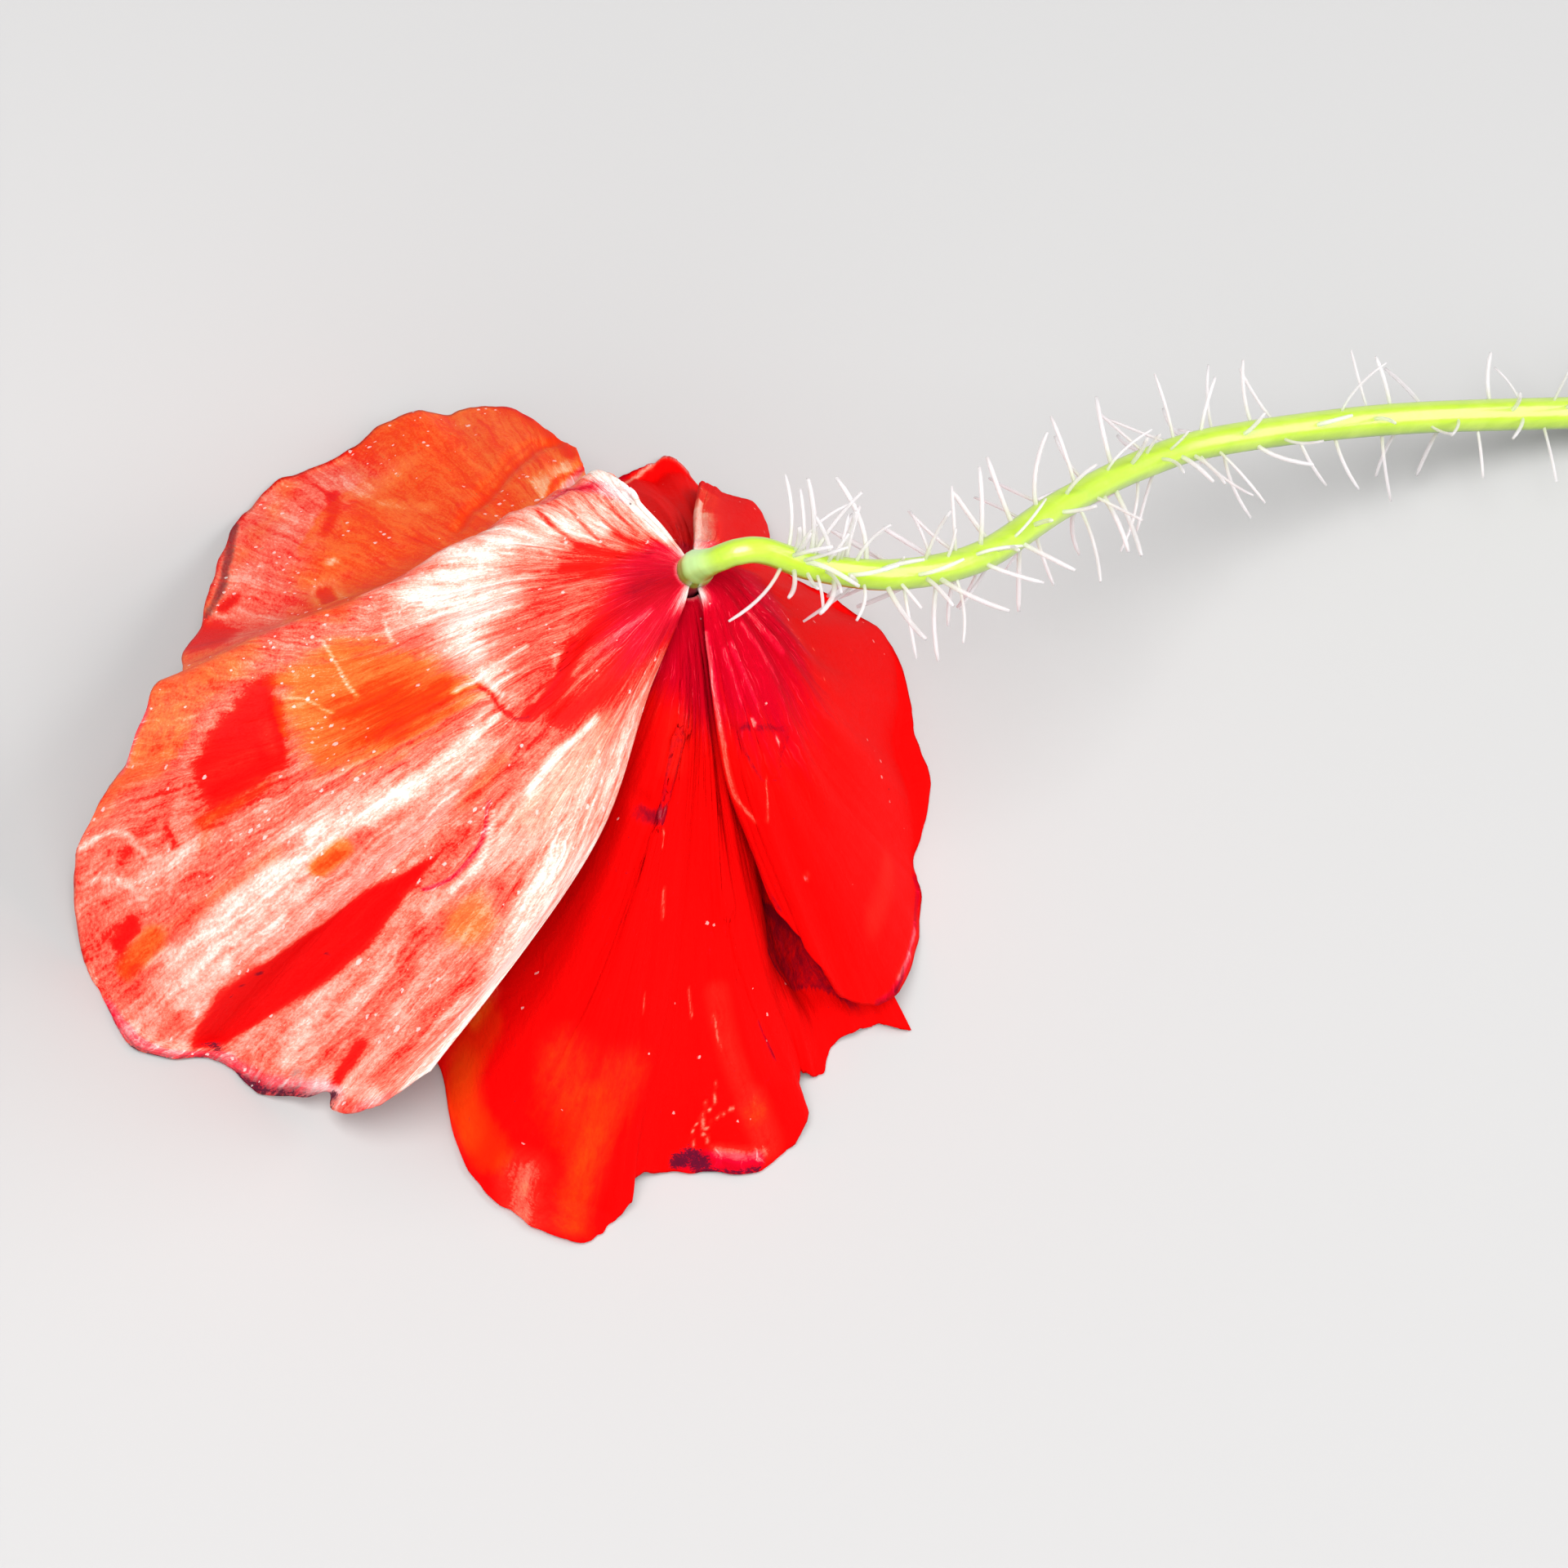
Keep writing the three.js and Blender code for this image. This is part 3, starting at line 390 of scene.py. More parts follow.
RIGHT_MARKS = {"level": [
    # painted highlight: the pale strip where the folded upper margin catches the light
    ("99,10 98.5,25 98,40 97.5,55 97,70", 0.8, 0.7, 1), ("95.5,70 95.5,90", 0.8, 0.3, 1),
    ("98.5,20 98.5,50 98.5,80", 0.16, 0.8), ("0.5,25 1,38 2,53 2,65 3,69 7,71", 0.12, 0.42),
    ("11,30 13,45", 0.1, 0.25), ("20,28 22,46", 0.12, 0.25), ("30,25 33,44", 0.12, 0.3),
    ("42,25 44,42", 0.14, 0.3), ("17,48.5 17,50", 0.1, 0.7), ("16.2,49.5 17.8,49.3", 0.07, 0.6),
    ("25,53.5 25,55", 0.13, 0.6), ("11,69 13,65 16,61", 0.07, 0.4), ("60,63", 0.12, 0.5),
    ("53,60", 0.09, 0.5), ("59,79", 0.12, 0.45), ("60.5,81", 0.1, 0.45), ("48,68", 0.12, 0.45),
    ("33,58", 0.1, 0.45), ("17,79", 0.17, 0.55), ("24,98.5 28,98.5", 0.3, 0.5), ("31,89 25,89", 1, 0.16),
    ("62,30 60,45 58,55", 1, 0.2),
], "orange": [
    ("96,60 95.5,90", 0.9, 0.35, 1),
], "magenta": [
    ("99,10 98,25", 0.8, 0.6), ("17,79", 0.2, 0.8), ("20,100 26,98.5 34,99", 0.4, 0.8),
], "purple": [
    ("23,99.5 25,98.5", 0.3, 0.7), ("30,100 34,99", 0.25, 0.5),
    ("9,51 11,57 16,62 24,58 29,54", 0.16, 0.55, 1), ("12,50 20,50.5 28,52", 0.3, 0.62, 1),
    ("0,72 0,86 3,98", 0.12, 0.5),
], "crease": [
    ("9,51 11,57 16,62 24,58 29,54", 0.4, 0.15),
]}
TOP_MARKS = {"level": [
    ("66,93 59,92 50,96 40,100 20,100 0,100", 0.2, 0.6),
], "magenta": [
    ("70,97 60,96 50,100 20,100", 0.4, 0.6),
], "purple": [
    ("62,96.5 50,100 30,100", 0.1, 0.4),
]}
MARKS = {"petal_left": LEFT_MARKS, "petal_bottom": BOTTOM_MARKS,
         "petal_right": RIGHT_MARKS, "petal_top": TOP_MARKS}
GROUND_LEVEL = {"petal_left": 0.45, "petal_bottom": 0.02, "petal_right": 0.02, "petal_top": 0.02}
# How far out the crimson base of each petal runs, by place across.
BASE_REACH = {"petal_left": "0,28 20,26 50,22 70,24 85,22 100,14", "petal_bottom": "0,36 30,34 60,40 100,44",
              "petal_right": "0,60 15,66 30,70 50,70 62,62 75,45 100,25", "petal_top": "0,34 100,34"}
# Red rays from the claw of the left petal into its pale part: (points, width in mm, level).
RAYS = [("45,4 36,13 31,19 27,25 24,30", 0.9, 0.02), ("7,13 16,18 17,25 19,31", 0.7, 0.08),
        ("58,3 60,15 61,28", 0.6, 0.12), ("68,3 69,15 69,30", 0.4, 0.15),
        ("76,3 79,15 79,27", 0.35, 0.2), ("22,11 26,21 24,25", 0.22, 0.35)]


def places(text):
    """The (across, outward) places that a line of text gives in hundredths."""
    return points_of(text) / 100


def distance_to(points, p):
    """How far each point of p lies from the line through points."""
    best = np.full(p.shape[:-1], 1e9)
    if len(points) == 1:
        return np.linalg.norm(p - points[0], axis=-1)
    for a, b in zip(points[:-1], points[1:]):
        ab = b - a
        f = np.clip(((p - a) @ ab) / max(ab @ ab, 1e-9), 0, 1)
        best = np.minimum(best, np.linalg.norm(p - a - f[..., None] * ab, axis=-1))
    return best


def inside(outline, s, t):
    """Which of the places (s, t) lie inside a closed outline."""
    odd = np.zeros(s.shape, bool)
    for (s0, t0), (s1, t1) in zip(outline, np.roll(outline, -1, axis=0)):
        crosses = (t0 > t) != (t1 > t)
        odd ^= crosses & (s < s0 + (s1 - s0) * (t - t0) / (t1 - t0 if t1 != t0 else 1e-9))
    return odd


def paint(petal, kind, value, s, t, flat):
    """The value with this petal's marks of one kind laid over it in turn."""
    stray = 0.55 * noise(91, s * 90, t * 8) + 0.35 * noise(92, s * 200, t * 30)
    for text, width, target, *edge in MARKS[petal.name].get(kind, ()):
        soft = edge[0] if edge else 0.8
        points = places(text)
        if width == 0:
            ring = np.concatenate([points, points[:1]])
            d = distance_to(petal.flat(ring[:, 0], ring[:, 1]), flat)
            d = np.where(inside(points, s, t), d, -d) + stray * min(soft, 1)
            mask = smooth(0.5 + d / (2 * soft))
        else:
            if len(points) > 1:
                points = through(points, np.linspace(0, len(points) - 1, 6 * (len(points) - 1) + 1))
            d = distance_to(petal.flat(points[:, 0], points[:, 1]), flat)
            mask = 1 - smooth((d / width - 1 + soft) / (2 * soft))
        value = value + (target - value) * mask
    return value


def fields_of(petal, s, t, flat):
    reach = places(BASE_REACH[petal.name])
    edge = np.interp(s, reach[:, 0], reach[:, 1])
    base = 1 - smooth((t - 0.4 * edge) / (0.8 * edge))
    ground = GROUND_LEVEL[petal.name]
    level = paint(petal, "level", ground + (0.05 - ground) * base, s, t, flat)
    crimson = base
    if petal.name == "petal_left":
        core = 1 - smooth((t - 0.05) / 0.2)
        level = level + (0.02 - level) * core
        for text, width, value in RAYS:
            points = places(text)
            points = through(points, np.linspace(0, len(points) - 1, 20))
            d = distance_to(petal.flat(points[:, 0], points[:, 1]), flat)
            level = level + (value - level) * np.exp(-(d / width) ** 2)
        # the white margin that turns over the top of the fold, bleached and with a painted highlight along
        # the fold's ridge
        margin = smooth((s - 0.86) / 0.06) * smooth((t - 0.04) / 0.1) * (1 - smooth((t - 0.4) / 0.1))
        level = level + (0.98 - level) * margin
        crimson = base * (1 - 0.8 * margin) * 0.85
    fields = {"level": level, "magenta": crimson}
    for kind in FIELDS[1:]:
        fields[kind] = paint(petal, kind, fields.get(kind, np.zeros(s.shape)), s, t, flat)
    # the pale claw at both margins, and its foot
    claw = (np.exp(-(s / 0.13) ** 2) + np.exp(-((1 - s) / 0.13) ** 2)) * (1 - smooth((t - 0.04) / 0.11))
    claw = np.maximum(claw, 0.6 * (1 - smooth((t - 0.004) / 0.02)))
    fields["level"] = fields["level"] + (0.92 - fields["level"]) * np.minimum(claw, 1)
    fields["magenta"] = fields["magenta"] * (1 - 0.3 * claw)
    return fields


# Each visible petal: steps across and outward, noise seed, how ragged its rim is, how
# crinkled it is, and how much further its first margin is tucked under the next petal.
SKINS = {"petal_left": (320, 150, 11, 1.0, 0.8, 0.0), "petal_bottom": (260, 140, 23, 0.9, 0.5, 0.045),
         "petal_right": (240, 130, 37, 0.45, 0.45, 0.0), "petal_top": (120, 80, 53, 0.5, 0.4, 0.0)}
# Fine relief: height in mm, hills across and outward, and from where and over how
# much of the petal it comes in.
CRINKLES = ((0.09, 85, 3, 0.1, 0.3), (0.05, 180, 6, 0.1, 0.3), (0.26, 20, 5, 0.2, 0.4))
NOTCH_AT, NOTCH_WIDTH, NOTCH_DEPTH = 0.105, 0.008, 0.02   # the nick in the left petal's rim


def rim_reach(petal, s, seed, ragged):
    """How much further out than its ribs the ragged rim runs."""
    reach = ragged * (0.012 * noise(seed, s * 26, 0.5) + 0.006 * noise(seed + 1, s * 75, 0.5))
    if petal.name == "petal_left":
        reach = reach - NOTCH_DEPTH * np.exp(-((s - NOTCH_AT) / NOTCH_WIDTH) ** 2)
    return reach


def fine_relief(s, t, seed, crinkle):
    """Crinkles along the ribs, papery hollows and a wavy rim, in mm."""
    h = np.zeros(s.shape)
    for k, (height, across, outward, start, width) in enumerate(CRINKLES):
        h += height * noise(seed + 2 + k, s * across, t * outward) * smooth((t - start) / width)
    h += 0.4 * noise(seed + 5, s * 34, 0.5) * smooth((t - 0.86) / 0.14) ** 2
    return h * crinkle


def sheet_faces(n, m):
    """Quads of a grid's upper face, and of the walls round it to the lower face."""
    ids = np.arange((n + 1) * (m + 1)).reshape(n + 1, m + 1)
    quads = np.stack([ids[:-1, :-1], ids[1:, :-1], ids[1:, 1:], ids[:-1, 1:]], -1).reshape(-1, 4)
    rim = np.concatenate([ids[:, 0], ids[n, 1:], ids[n - 1::-1, m], ids[0, m - 1:0:-1]])
    after = np.roll(rim, -1)
    return quads, np.stack([rim, rim + ids.size, after + ids.size, after], -1)


def petal_object(petal):
    n, m, seed, ragged, crinkle, tuck = SKINS[petal.name]
    s, t = np.meshgrid(np.linspace(0, 1, n + 1), np.linspace(0, 1, m + 1), indexing="ij")
    s = s - tuck * (1 - s) ** 6 * (1 - smooth((t - 0.35) / 0.3))
    out = t * (1 + rim_reach(petal, s, seed, ragged) * t ** 4)
    flat = petal.flat(s, out)
    p = fold_back(flat) if petal.fold else flat
    p = p + grid_normals(p) * (petal.relief(s, t) + fine_relief(s, t, seed, crinkle))[..., None]
    fields = fields_of(petal, s, out, flat)
    p = p - grid_normals(p) * fields["crease"][..., None]
    normal = grid_normals(p)
    top, low = p + normal * THIN / 2, p - normal * THIN / 2
    top[..., 2] = np.maximum(top[..., 2], THIN + LOWEST)
    low[..., 2] = np.maximum(low[..., 2], LOWEST)
    quads, walls = sheet_faces(n, m)
    if np.cross(p[1, 0] - p[0, 0], p[0, 1] - p[0, 0]) @ normal[0, 0] <= 0:
        quads, walls = quads[:, ::-1], walls[:, ::-1]
    verts = np.concatenate([top.reshape(-1, 3), low.reshape(-1, 3)])
    piece = mesh_object(petal.name + "_fine", verts, np.concatenate([quads, quads[:, ::-1] + s.size, walls]))
    width = np.linalg.norm(np.diff(petal.flat(np.linspace(0, 1, 60), 0.8), axis=0), axis=1).sum()
    length = np.linalg.norm(np.diff(petal.flat(0.5, np.linspace(0, 1, 60)), axis=0), axis=1).sum()
    weave = np.stack([s * width, t * length, np.full(s.shape, 7.0 * seed)], -1).reshape(-1, 3)
    vector_attribute(piece, "weave", np.concatenate([weave, weave]))
    for kind in PAINTED:
        float_attribute(piece, kind, np.concatenate([fields[kind].ravel()] * 2))
    return piece


# ---- meshes -------------------------------------------------------------------
def mesh_object(name, verts, faces):
    """A smooth mesh from points in mm about the receptacle."""
    mesh = bpy.data.meshes.new(name)
    metres = (np.asarray(verts, float) + HUB) * MM
    mesh.from_pydata(metres.tolist(), [], [[int(i) for i in f] for f in faces])
    mesh.validate()
    mesh.polygons.foreach_set("use_smooth", [True] * len(mesh.polygons))
    mesh.update()
    return add_object(name, mesh)


def vector_attribute(piece, name, values):
    data = piece.data.attributes.new(name, "FLOAT_VECTOR", "POINT")
    data.data.foreach_set("vector", np.asarray(values, float).ravel())


def float_attribute(piece, name, values):
    data = piece.data.attributes.new(name, "FLOAT", "POINT")
    data.data.foreach_set("value", np.asarray(values, float).ravel())


class Shape:
    """Tubes and rings gathered into one mesh, with a value per point."""

    def __init__(self):
        self.verts, self.faces, self.values = [], [], []

    def tube(self, points, radii, sides, value=0.0, ribs=(0, 0.0)):
        points = np.asarray(points, float)
        last = len(points) - 1
        side = None
        base = len(self.verts)
        for i in range(last + 1):
            along = unit(points[min(i + 1, last)] - points[max(i - 1, 0)])
            if side is None:
                side = unit(np.cross(along, [0, 0, 1] if abs(along[2]) < 0.9 else [1, 0, 0]))
            side = unit(side - along * (side @ along))
            other = np.cross(along, side)
            for k in range(sides):
                a = 2 * math.pi * k / sides
                r = radii[i] * (1 + ribs[1] * math.cos(ribs[0] * a))
                self.verts.append(points[i] + r * (math.cos(a) * side + math.sin(a) * other))
                self.values.append(value if np.isscalar(value) else value[i])
        for i in range(last):
            for k in range(sides):
                a, b = base + i * sides + k, base + i * sides + (k + 1) % sides
                self.faces.append((a, b, b + sides, a + sides))
        self.faces.append(tuple(range(base + sides - 1, base - 1, -1)))
        self.faces.append(tuple(range(base + last * sides, base + (last + 1) * sides)))

    def ring(self, profile, sides):
        """A closed ring about the axis with this (radius, height) profile."""
        base = len(self.verts)
        for r, z in profile:
            for k in range(sides):
                self.verts.append(polar(r, 2 * math.pi * k / sides, z))
                self.values.append(0.0)
        for i in range(len(profile)):
            here, above = base + i * sides, base + (i + 1) % len(profile) * sides
            for k in range(sides):
                after = (k + 1) % sides
                self.faces.append((here + k, here + after, above + after, above + k))

    def object(self, name, value_name):
        piece = mesh_object(name, self.verts, self.faces)
        float_attribute(piece, value_name, self.values)
        return piece


# ---- stem ---------------------------------------------------------------------
# The line of the stem from the bulb to the cut end.
STEM = points_of(
    "0,0,27.4 -0.1,-0.3,28.6 0.3,-0.7,29.8 1.3,-1,30.7 2.75,-1.5,30.85 5.7,-3,29.85 "
    "11.1,-4.2,27.9 18.2,-3.7,24.95 27.1,-0.8,21 36.1,1.5,17 44.3,2.5,13.8 59.7,2.2,8.6 "
    "76.5,0.2,3.9 88,-1.8,1.5 95,-3,1.15")
STEM_STEPS, BULB_STEPS, STEM_SIDES = 300, 12, 32
# Radius of the swollen end by height, from inside the flower up, and then of the stem.
BULB = [(24.8, 0.7), (25.0, 0.75), (26.2, 0.78), (26.9, 0.9), (27.4, 1.03), (27.9, 1.06),
        (28.4, 0.99), (28.9, 0.86), (29.6, 0.78)]
NECK_RADIUS, STEM_RADIUS, STEM_END_RADIUS = 0.74, 0.9, 1.12
HAIR_COUNT, HAIR_SIDES = 165, 8
HAIR_LENGTH = (2.9, 4.6)
HAIR_RADIUS = 0.125
HAIR_TAPER = np.array([1.4, 1.1, 1.0, 1.0, 1.0, 1.0, 1.0, 0.95, 0.7])
HAIR_START, HAIR_SPAN = 0.315, 0.675   # shares of the way along the points of STEM
SHORT_HAIR = 0.6                       # of the full length, where hairs point to the camera


def stem_object():
    last = len(STEM) - 1
    u = np.linspace(0, 1, STEM_STEPS) ** 1.2 * last
    foot = [(0, 0, z) for z in np.linspace(BULB[0][0], STEM[0][2] - 0.15, BULB_STEPS)]
    line = np.concatenate([foot, through(STEM, u)])
    along = np.concatenate([np.zeros(BULB_STEPS), u / last])
    run = np.concatenate([[0], np.cumsum(np.linalg.norm(np.diff(line, axis=0), axis=1))]) + BULB[0][0]
    heights, widths = zip(*BULB)
    # it widens below the neck, and again towards the cut end
    radii = (NECK_RADIUS + (STEM_RADIUS - NECK_RADIUS) * smooth((run - 31) / 12)
             + (STEM_END_RADIUS - STEM_RADIUS) * smooth((run - 60) / 60))
    radii = np.where(run > heights[-1], radii, np.interp(run, heights, widths))
    radii = np.convolve(np.pad(radii, 3, mode="edge"), np.ones(7) / 7, mode="valid")
    # the value falls below 0 down the pale bulb, and below -1 in its foot, which is painted dark red as
    # shade
    edge = heights[-1] + 1.5
    value = np.where(run < edge, -smooth((edge - run) / 2.5) - smooth((27.3 - run) / 0.6), along)
    stem = Shape()
    stem.tube(line, radii * (1 + 0.02 * noise(3, along * 56, 0.5)), STEM_SIDES, value, ribs=(7, 0.016))
    return stem.object("stem_fine", "along")


def hair_object():
    last = len(STEM) - 1
    hairs = Shape()
    random = np.random.RandomState(41)
    steps = np.linspace(0, 1, len(HAIR_TAPER))
    for k in range(HAIR_COUNT):
        u = (HAIR_START + HAIR_SPAN * ((k + 0.8 * random.rand()) / HAIR_COUNT) ** 1.15) * last
        p = through(STEM, u)[0]
        along = unit(through(STEM, min(u + 0.05, last))[0] - through(STEM, u - 0.05)[0])
        side = unit(np.cross(along, [0, 0, 1]))
        up = np.cross(side, along)
        a = 2.4 * k + 1.4 * random.rand()
        # none points down where the stem is over a petal or near the surface
        if (p[2] < 6 or p[0] < 8) and math.sin(a) < 0.1:
            a = -a
        out = math.cos(a) * side + math.sin(a) * up
        length = HAIR_LENGTH[0] + (HAIR_LENGTH[1] - HAIR_LENGTH[0]) * random.rand()
        if out @ np.array(CAMERA_BACK) > 0.5:
            length *= SHORT_HAIR
        lean, curl = random.rand() - 0.5, (random.rand() - 0.5) * 4.8
        sway = (random.rand() - 0.5) * 3.0
        aside = np.cross(along, out)
        path = np.array([p + out * (0.3 + (length + 0.5) * d)
                         + along * (lean * d * length * 0.5 + curl * d * d)
                         + aside * sway * d * d for d in steps])
        path[:, 2] = np.maximum(path[:, 2], 0.25)
        hairs.tube(path, HAIR_RADIUS * (0.75 + 0.5 * random.rand()) * HAIR_TAPER, HAIR_SIDES, steps)
    return hairs.object("stem_hairs", "along")


# ---- ovary and stamens --------------------------------------------------------
OVARY_PROFILE = [(0.75, 24.5), (0.8, 23.9), (1.35, 23.1), (1.85, 22), (2.1, 20.6), (2.05, 19.2),
                 (1.7, 18.1), (1.85, 17.9), (2.6, 17.8), (2.65, 17.3), (2.2, 17.0), (0.9, 16.8)]
RAY_COUNT = 10
RAY_PROFILE = ((0.3, 16.72), (0.8, 16.72), (1.4, 16.8), (2.0, 16.92), (2.5, 17.12), (2.7, 17.4))
RAY_RADII = (0.12, 0.2, 0.22, 0.2, 0.16, 0.08)
STAMEN_COUNT = 150
GOLDEN_TURN = 0.381966
FILAMENT_RADIUS = 0.09
ANTHER_LENGTH = 1.15
ANTHER_RADII = (0.1, 0.26, 0.34, 0.37, 0.37, 0.34, 0.25, 0.08)
COLLAR = ((1.15, 24.45), (1.7, 24.45), (1.75, 24.2), (1.65, 24.0), (1.15, 24.0))


def ovary_object():
    """The capsule, whose flat cap carries raised rays."""
    curve = through(OVARY_PROFILE, np.linspace(0, len(OVARY_PROFILE) - 1, 70))
    curve[:, 0] = np.maximum(curve[:, 0], 0.3)
    ovary = Shape()
    ovary.tube([(0, 0, z) for z in curve[:, 1]], curve[:, 0], 60, smooth((18.3 - curve[:, 1]) / 0.5),
               ribs=(RAY_COUNT, 0.035))
    for k in range(RAY_COUNT):
        a = 2 * math.pi * k / RAY_COUNT
        ovary.tube([polar(r, a, z) for r, z in RAY_PROFILE], RAY_RADII, 8, 2.0)
    return ovary.object("ovary_fine", "part")


def stamen_object():
    stamens = Shape()
    random = np.random.RandomState(7)
    for k in range(STAMEN_COUNT):
        a = 2 * math.pi * (k * GOLDEN_TURN + 0.01 * random.rand())
        tier = random.rand() * 2
        narrow = math.sin(a + 0.35) ** 2
        wide = 3.35 - 0.25 * narrow + (0.85 - 0.3 * narrow) * tier + 0.25 * random.rand()
        low = 19.4 - 1.7 * tier - 0.7 * random.rand()
        twist = 0.25 * (random.rand() - 0.5)
        path = [polar(r, a + twist * turn, z) for r, z, turn in
                ((1.4, 24.3, 0), (1.9, 23.2, 0.1), (2.4, 22.2, 0.3),
                 ((2.4 + wide) / 2, (22.2 + low) / 2, 0.6), (wide, low, 1))]
        stamens.tube(through(path, np.linspace(0, 4, 11)), [FILAMENT_RADIUS] * 11, 6, 0.0)
        # the anther hangs from the tip and leans out a little
        anther = [path[-1] + polar(0.25, a, -ANTHER_LENGTH) * f
                  for f in np.linspace(-0.1, 1, len(ANTHER_RADII))]
        stamens.tube(anther, ANTHER_RADII, 10, 1.0, ribs=(2, 0.16))
    stamens.ring(COLLAR, 40)
    return stamens.object("stamens_fine", "part")


# ---- materials ----------------------------------------------------------------
class Nodes:
    """Short names for the nodes of one material."""

    def __init__(self, name):
        self.material = bpy.data.materials.new(name)
        self.material.use_nodes = True
        self.tree = self.material.node_tree
        self.tree.nodes.clear()

    def put(self, socket, value):
        if isinstance(value, bpy.types.NodeSocket):
            self.tree.links.new(value, socket)
        elif value is not None:
            socket.default_value = value

    def node(self, kind, **settings):
        node = self.tree.nodes.new(kind)
        for key, value in settings.items():
            setattr(node, key, value)
        return node

    def fill(self, kind, *values, **settings):
        """The outputs of a new node with these values put into it in turn."""
        node = self.node(kind, **settings)
        for socket, value in zip(node.inputs, values):
            self.put(socket, value)
        return node.outputs

    def attribute(self, name, output="Fac"):
        return self.node("ShaderNodeAttribute", attribute_name=name).outputs[output]

    def math(self, what, a, b):
        return self.fill("ShaderNodeMath", a, b, operation=what)[0]

    def times(self, a, b):
        return self.math("MULTIPLY", a, b)

    def plus(self, first, *rest):
        return self.math("ADD", first, self.plus(*rest)) if rest else first

    def off(self, value, much):
        """How far a value from 0 to 1 lies off the middle, times much."""
        return self.times(self.math("SUBTRACT", value, 0.5), much)

    def between(self, value, low, high):
        """0 up to low, 1 from high, smooth between."""
        node = self.node("ShaderNodeMapRange", interpolation_type="SMOOTHSTEP")
        self.put(node.inputs["Value"], value)
        node.inputs["From Min"].default_value = low
        node.inputs["From Max"].default_value = high
        return node.outputs["Result"]

    def mix(self, share, a, b):
        node = self.node("ShaderNodeMix", data_type="RGBA")
        self.put(node.inputs[0], share)
        for socket, value in ((node.inputs[6], a), (node.inputs[7], b)):
            self.put(socket, value if isinstance(value, bpy.types.NodeSocket) else (*value, 1))
        return node.outputs[2]

    def vector(self, what, a, b):
        return self.fill("ShaderNodeVectorMath", a, b, operation=what)[0]

    def scaled(self, vector, scale):
        return self.vector("MULTIPLY", vector, scale)

    def noise(self, vector, scale=1.0, detail=3.0, rough=0.55, output="Fac"):
        node = self.node("ShaderNodeTexNoise")
        self.put(node.inputs["Vector"], vector)
        node.inputs["Scale"].default_value = scale
        node.inputs["Detail"].default_value = detail
        node.inputs["Roughness"].default_value = rough
        return node.outputs[output]

    def place(self):
        return self.node("ShaderNodeTexCoord").outputs["Object"]

    def bump(self, height, strength, distance):
        node = self.node("ShaderNodeBump")
        node.inputs["Strength"].default_value = strength
        node.inputs["Distance"].default_value = distance
        self.put(node.inputs["Height"], height)
        return node.outputs["Normal"]

    def surface(self, colour, roughness, normal=None, clear=None, **values):
        """The finished material; clear is the share that lets light straight through."""
        shader = self.node("ShaderNodeBsdfPrincipled")
        self.put(shader.inputs["Base Color"], colour)
        self.put(shader.inputs["Roughness"], roughness)
        self.put(shader.inputs["Normal"], normal)
        for key, value in values.items():
            shader.inputs[key.replace("_", " ")].default_value = value
        light = shader.outputs[0]
        if clear is not None:
            straight = self.node("ShaderNodeBsdfTransparent").outputs[0]
            light = self.fill("ShaderNodeMixShader", clear, light, straight)[0]
        self.fill("ShaderNodeOutputMaterial", light)
        return self.material


# Colours of a petal from deep red through pale to white, paled by bleaching and by painted
# sheen: plain, where it leans to orange and where it leans to crimson.
STEPS = (0.0, 0.25, 0.5, 0.75, 1.0)
REDS = ((0.76, 0, 0.0005), (0.86, 0.014, 0.008), (0.9, 0.16, 0.1), (0.92, 0.42, 0.33), (0.93, 0.84, 0.76))
ORANGES = ((0.8, 0.01, 0.001), (0.86, 0.055, 0.003), (0.9, 0.17, 0.03), (0.92, 0.46, 0.25),
           (0.93, 0.84, 0.74))
CRIMSONS = ((0.52, 0, 0.008), (0.78, 0.002, 0.026), (0.88, 0.09, 0.11), (0.9, 0.36, 0.36),
            (0.92, 0.78, 0.76))
# the dark purple of bruises and of painted shade in creases and hollows
BRUISE_AND_SHADE = (0.15, 0.002, 0.014)
DRIED = (0.06, 0.004, 0.02)
DUST = (0.93, 0.80, 0.76)
# Noise on the unfolded petal, in hills to the mm; streaks are drawn out outward.
WANDER, STREAK, FINE_STREAK = 0.5, (0.8, 0.09, 1), (3.6, 0.3, 1)
MOTTLE, GRAIN, BLOTCH = 1.5, 7.0, 0.25
# Specks of dust: cells to the mm, and the size and the share of the cells that hold one.
SPECKS = ((0.8, 0.09, 0.11), (2.4, 0.2, 0.2))


def petal_colour(g, level):
    """The colour for a level of paleness, from bleaching and painted sheen, in the three ranges of colour.
    """
    colours = []
    for stops in (REDS, ORANGES, CRIMSONS):
        ramp = g.node("ShaderNodeValToRGB")
        g.put(ramp.inputs[0], level)
        bar = ramp.color_ramp
        while len(bar.elements) < len(stops):
            bar.elements.new(0.5)
        for element, at, colour in zip(bar.elements, STEPS, stops):
            element.position, element.color = at, (*colour, 1)
        colours.append(ramp.outputs[0])
    return colours


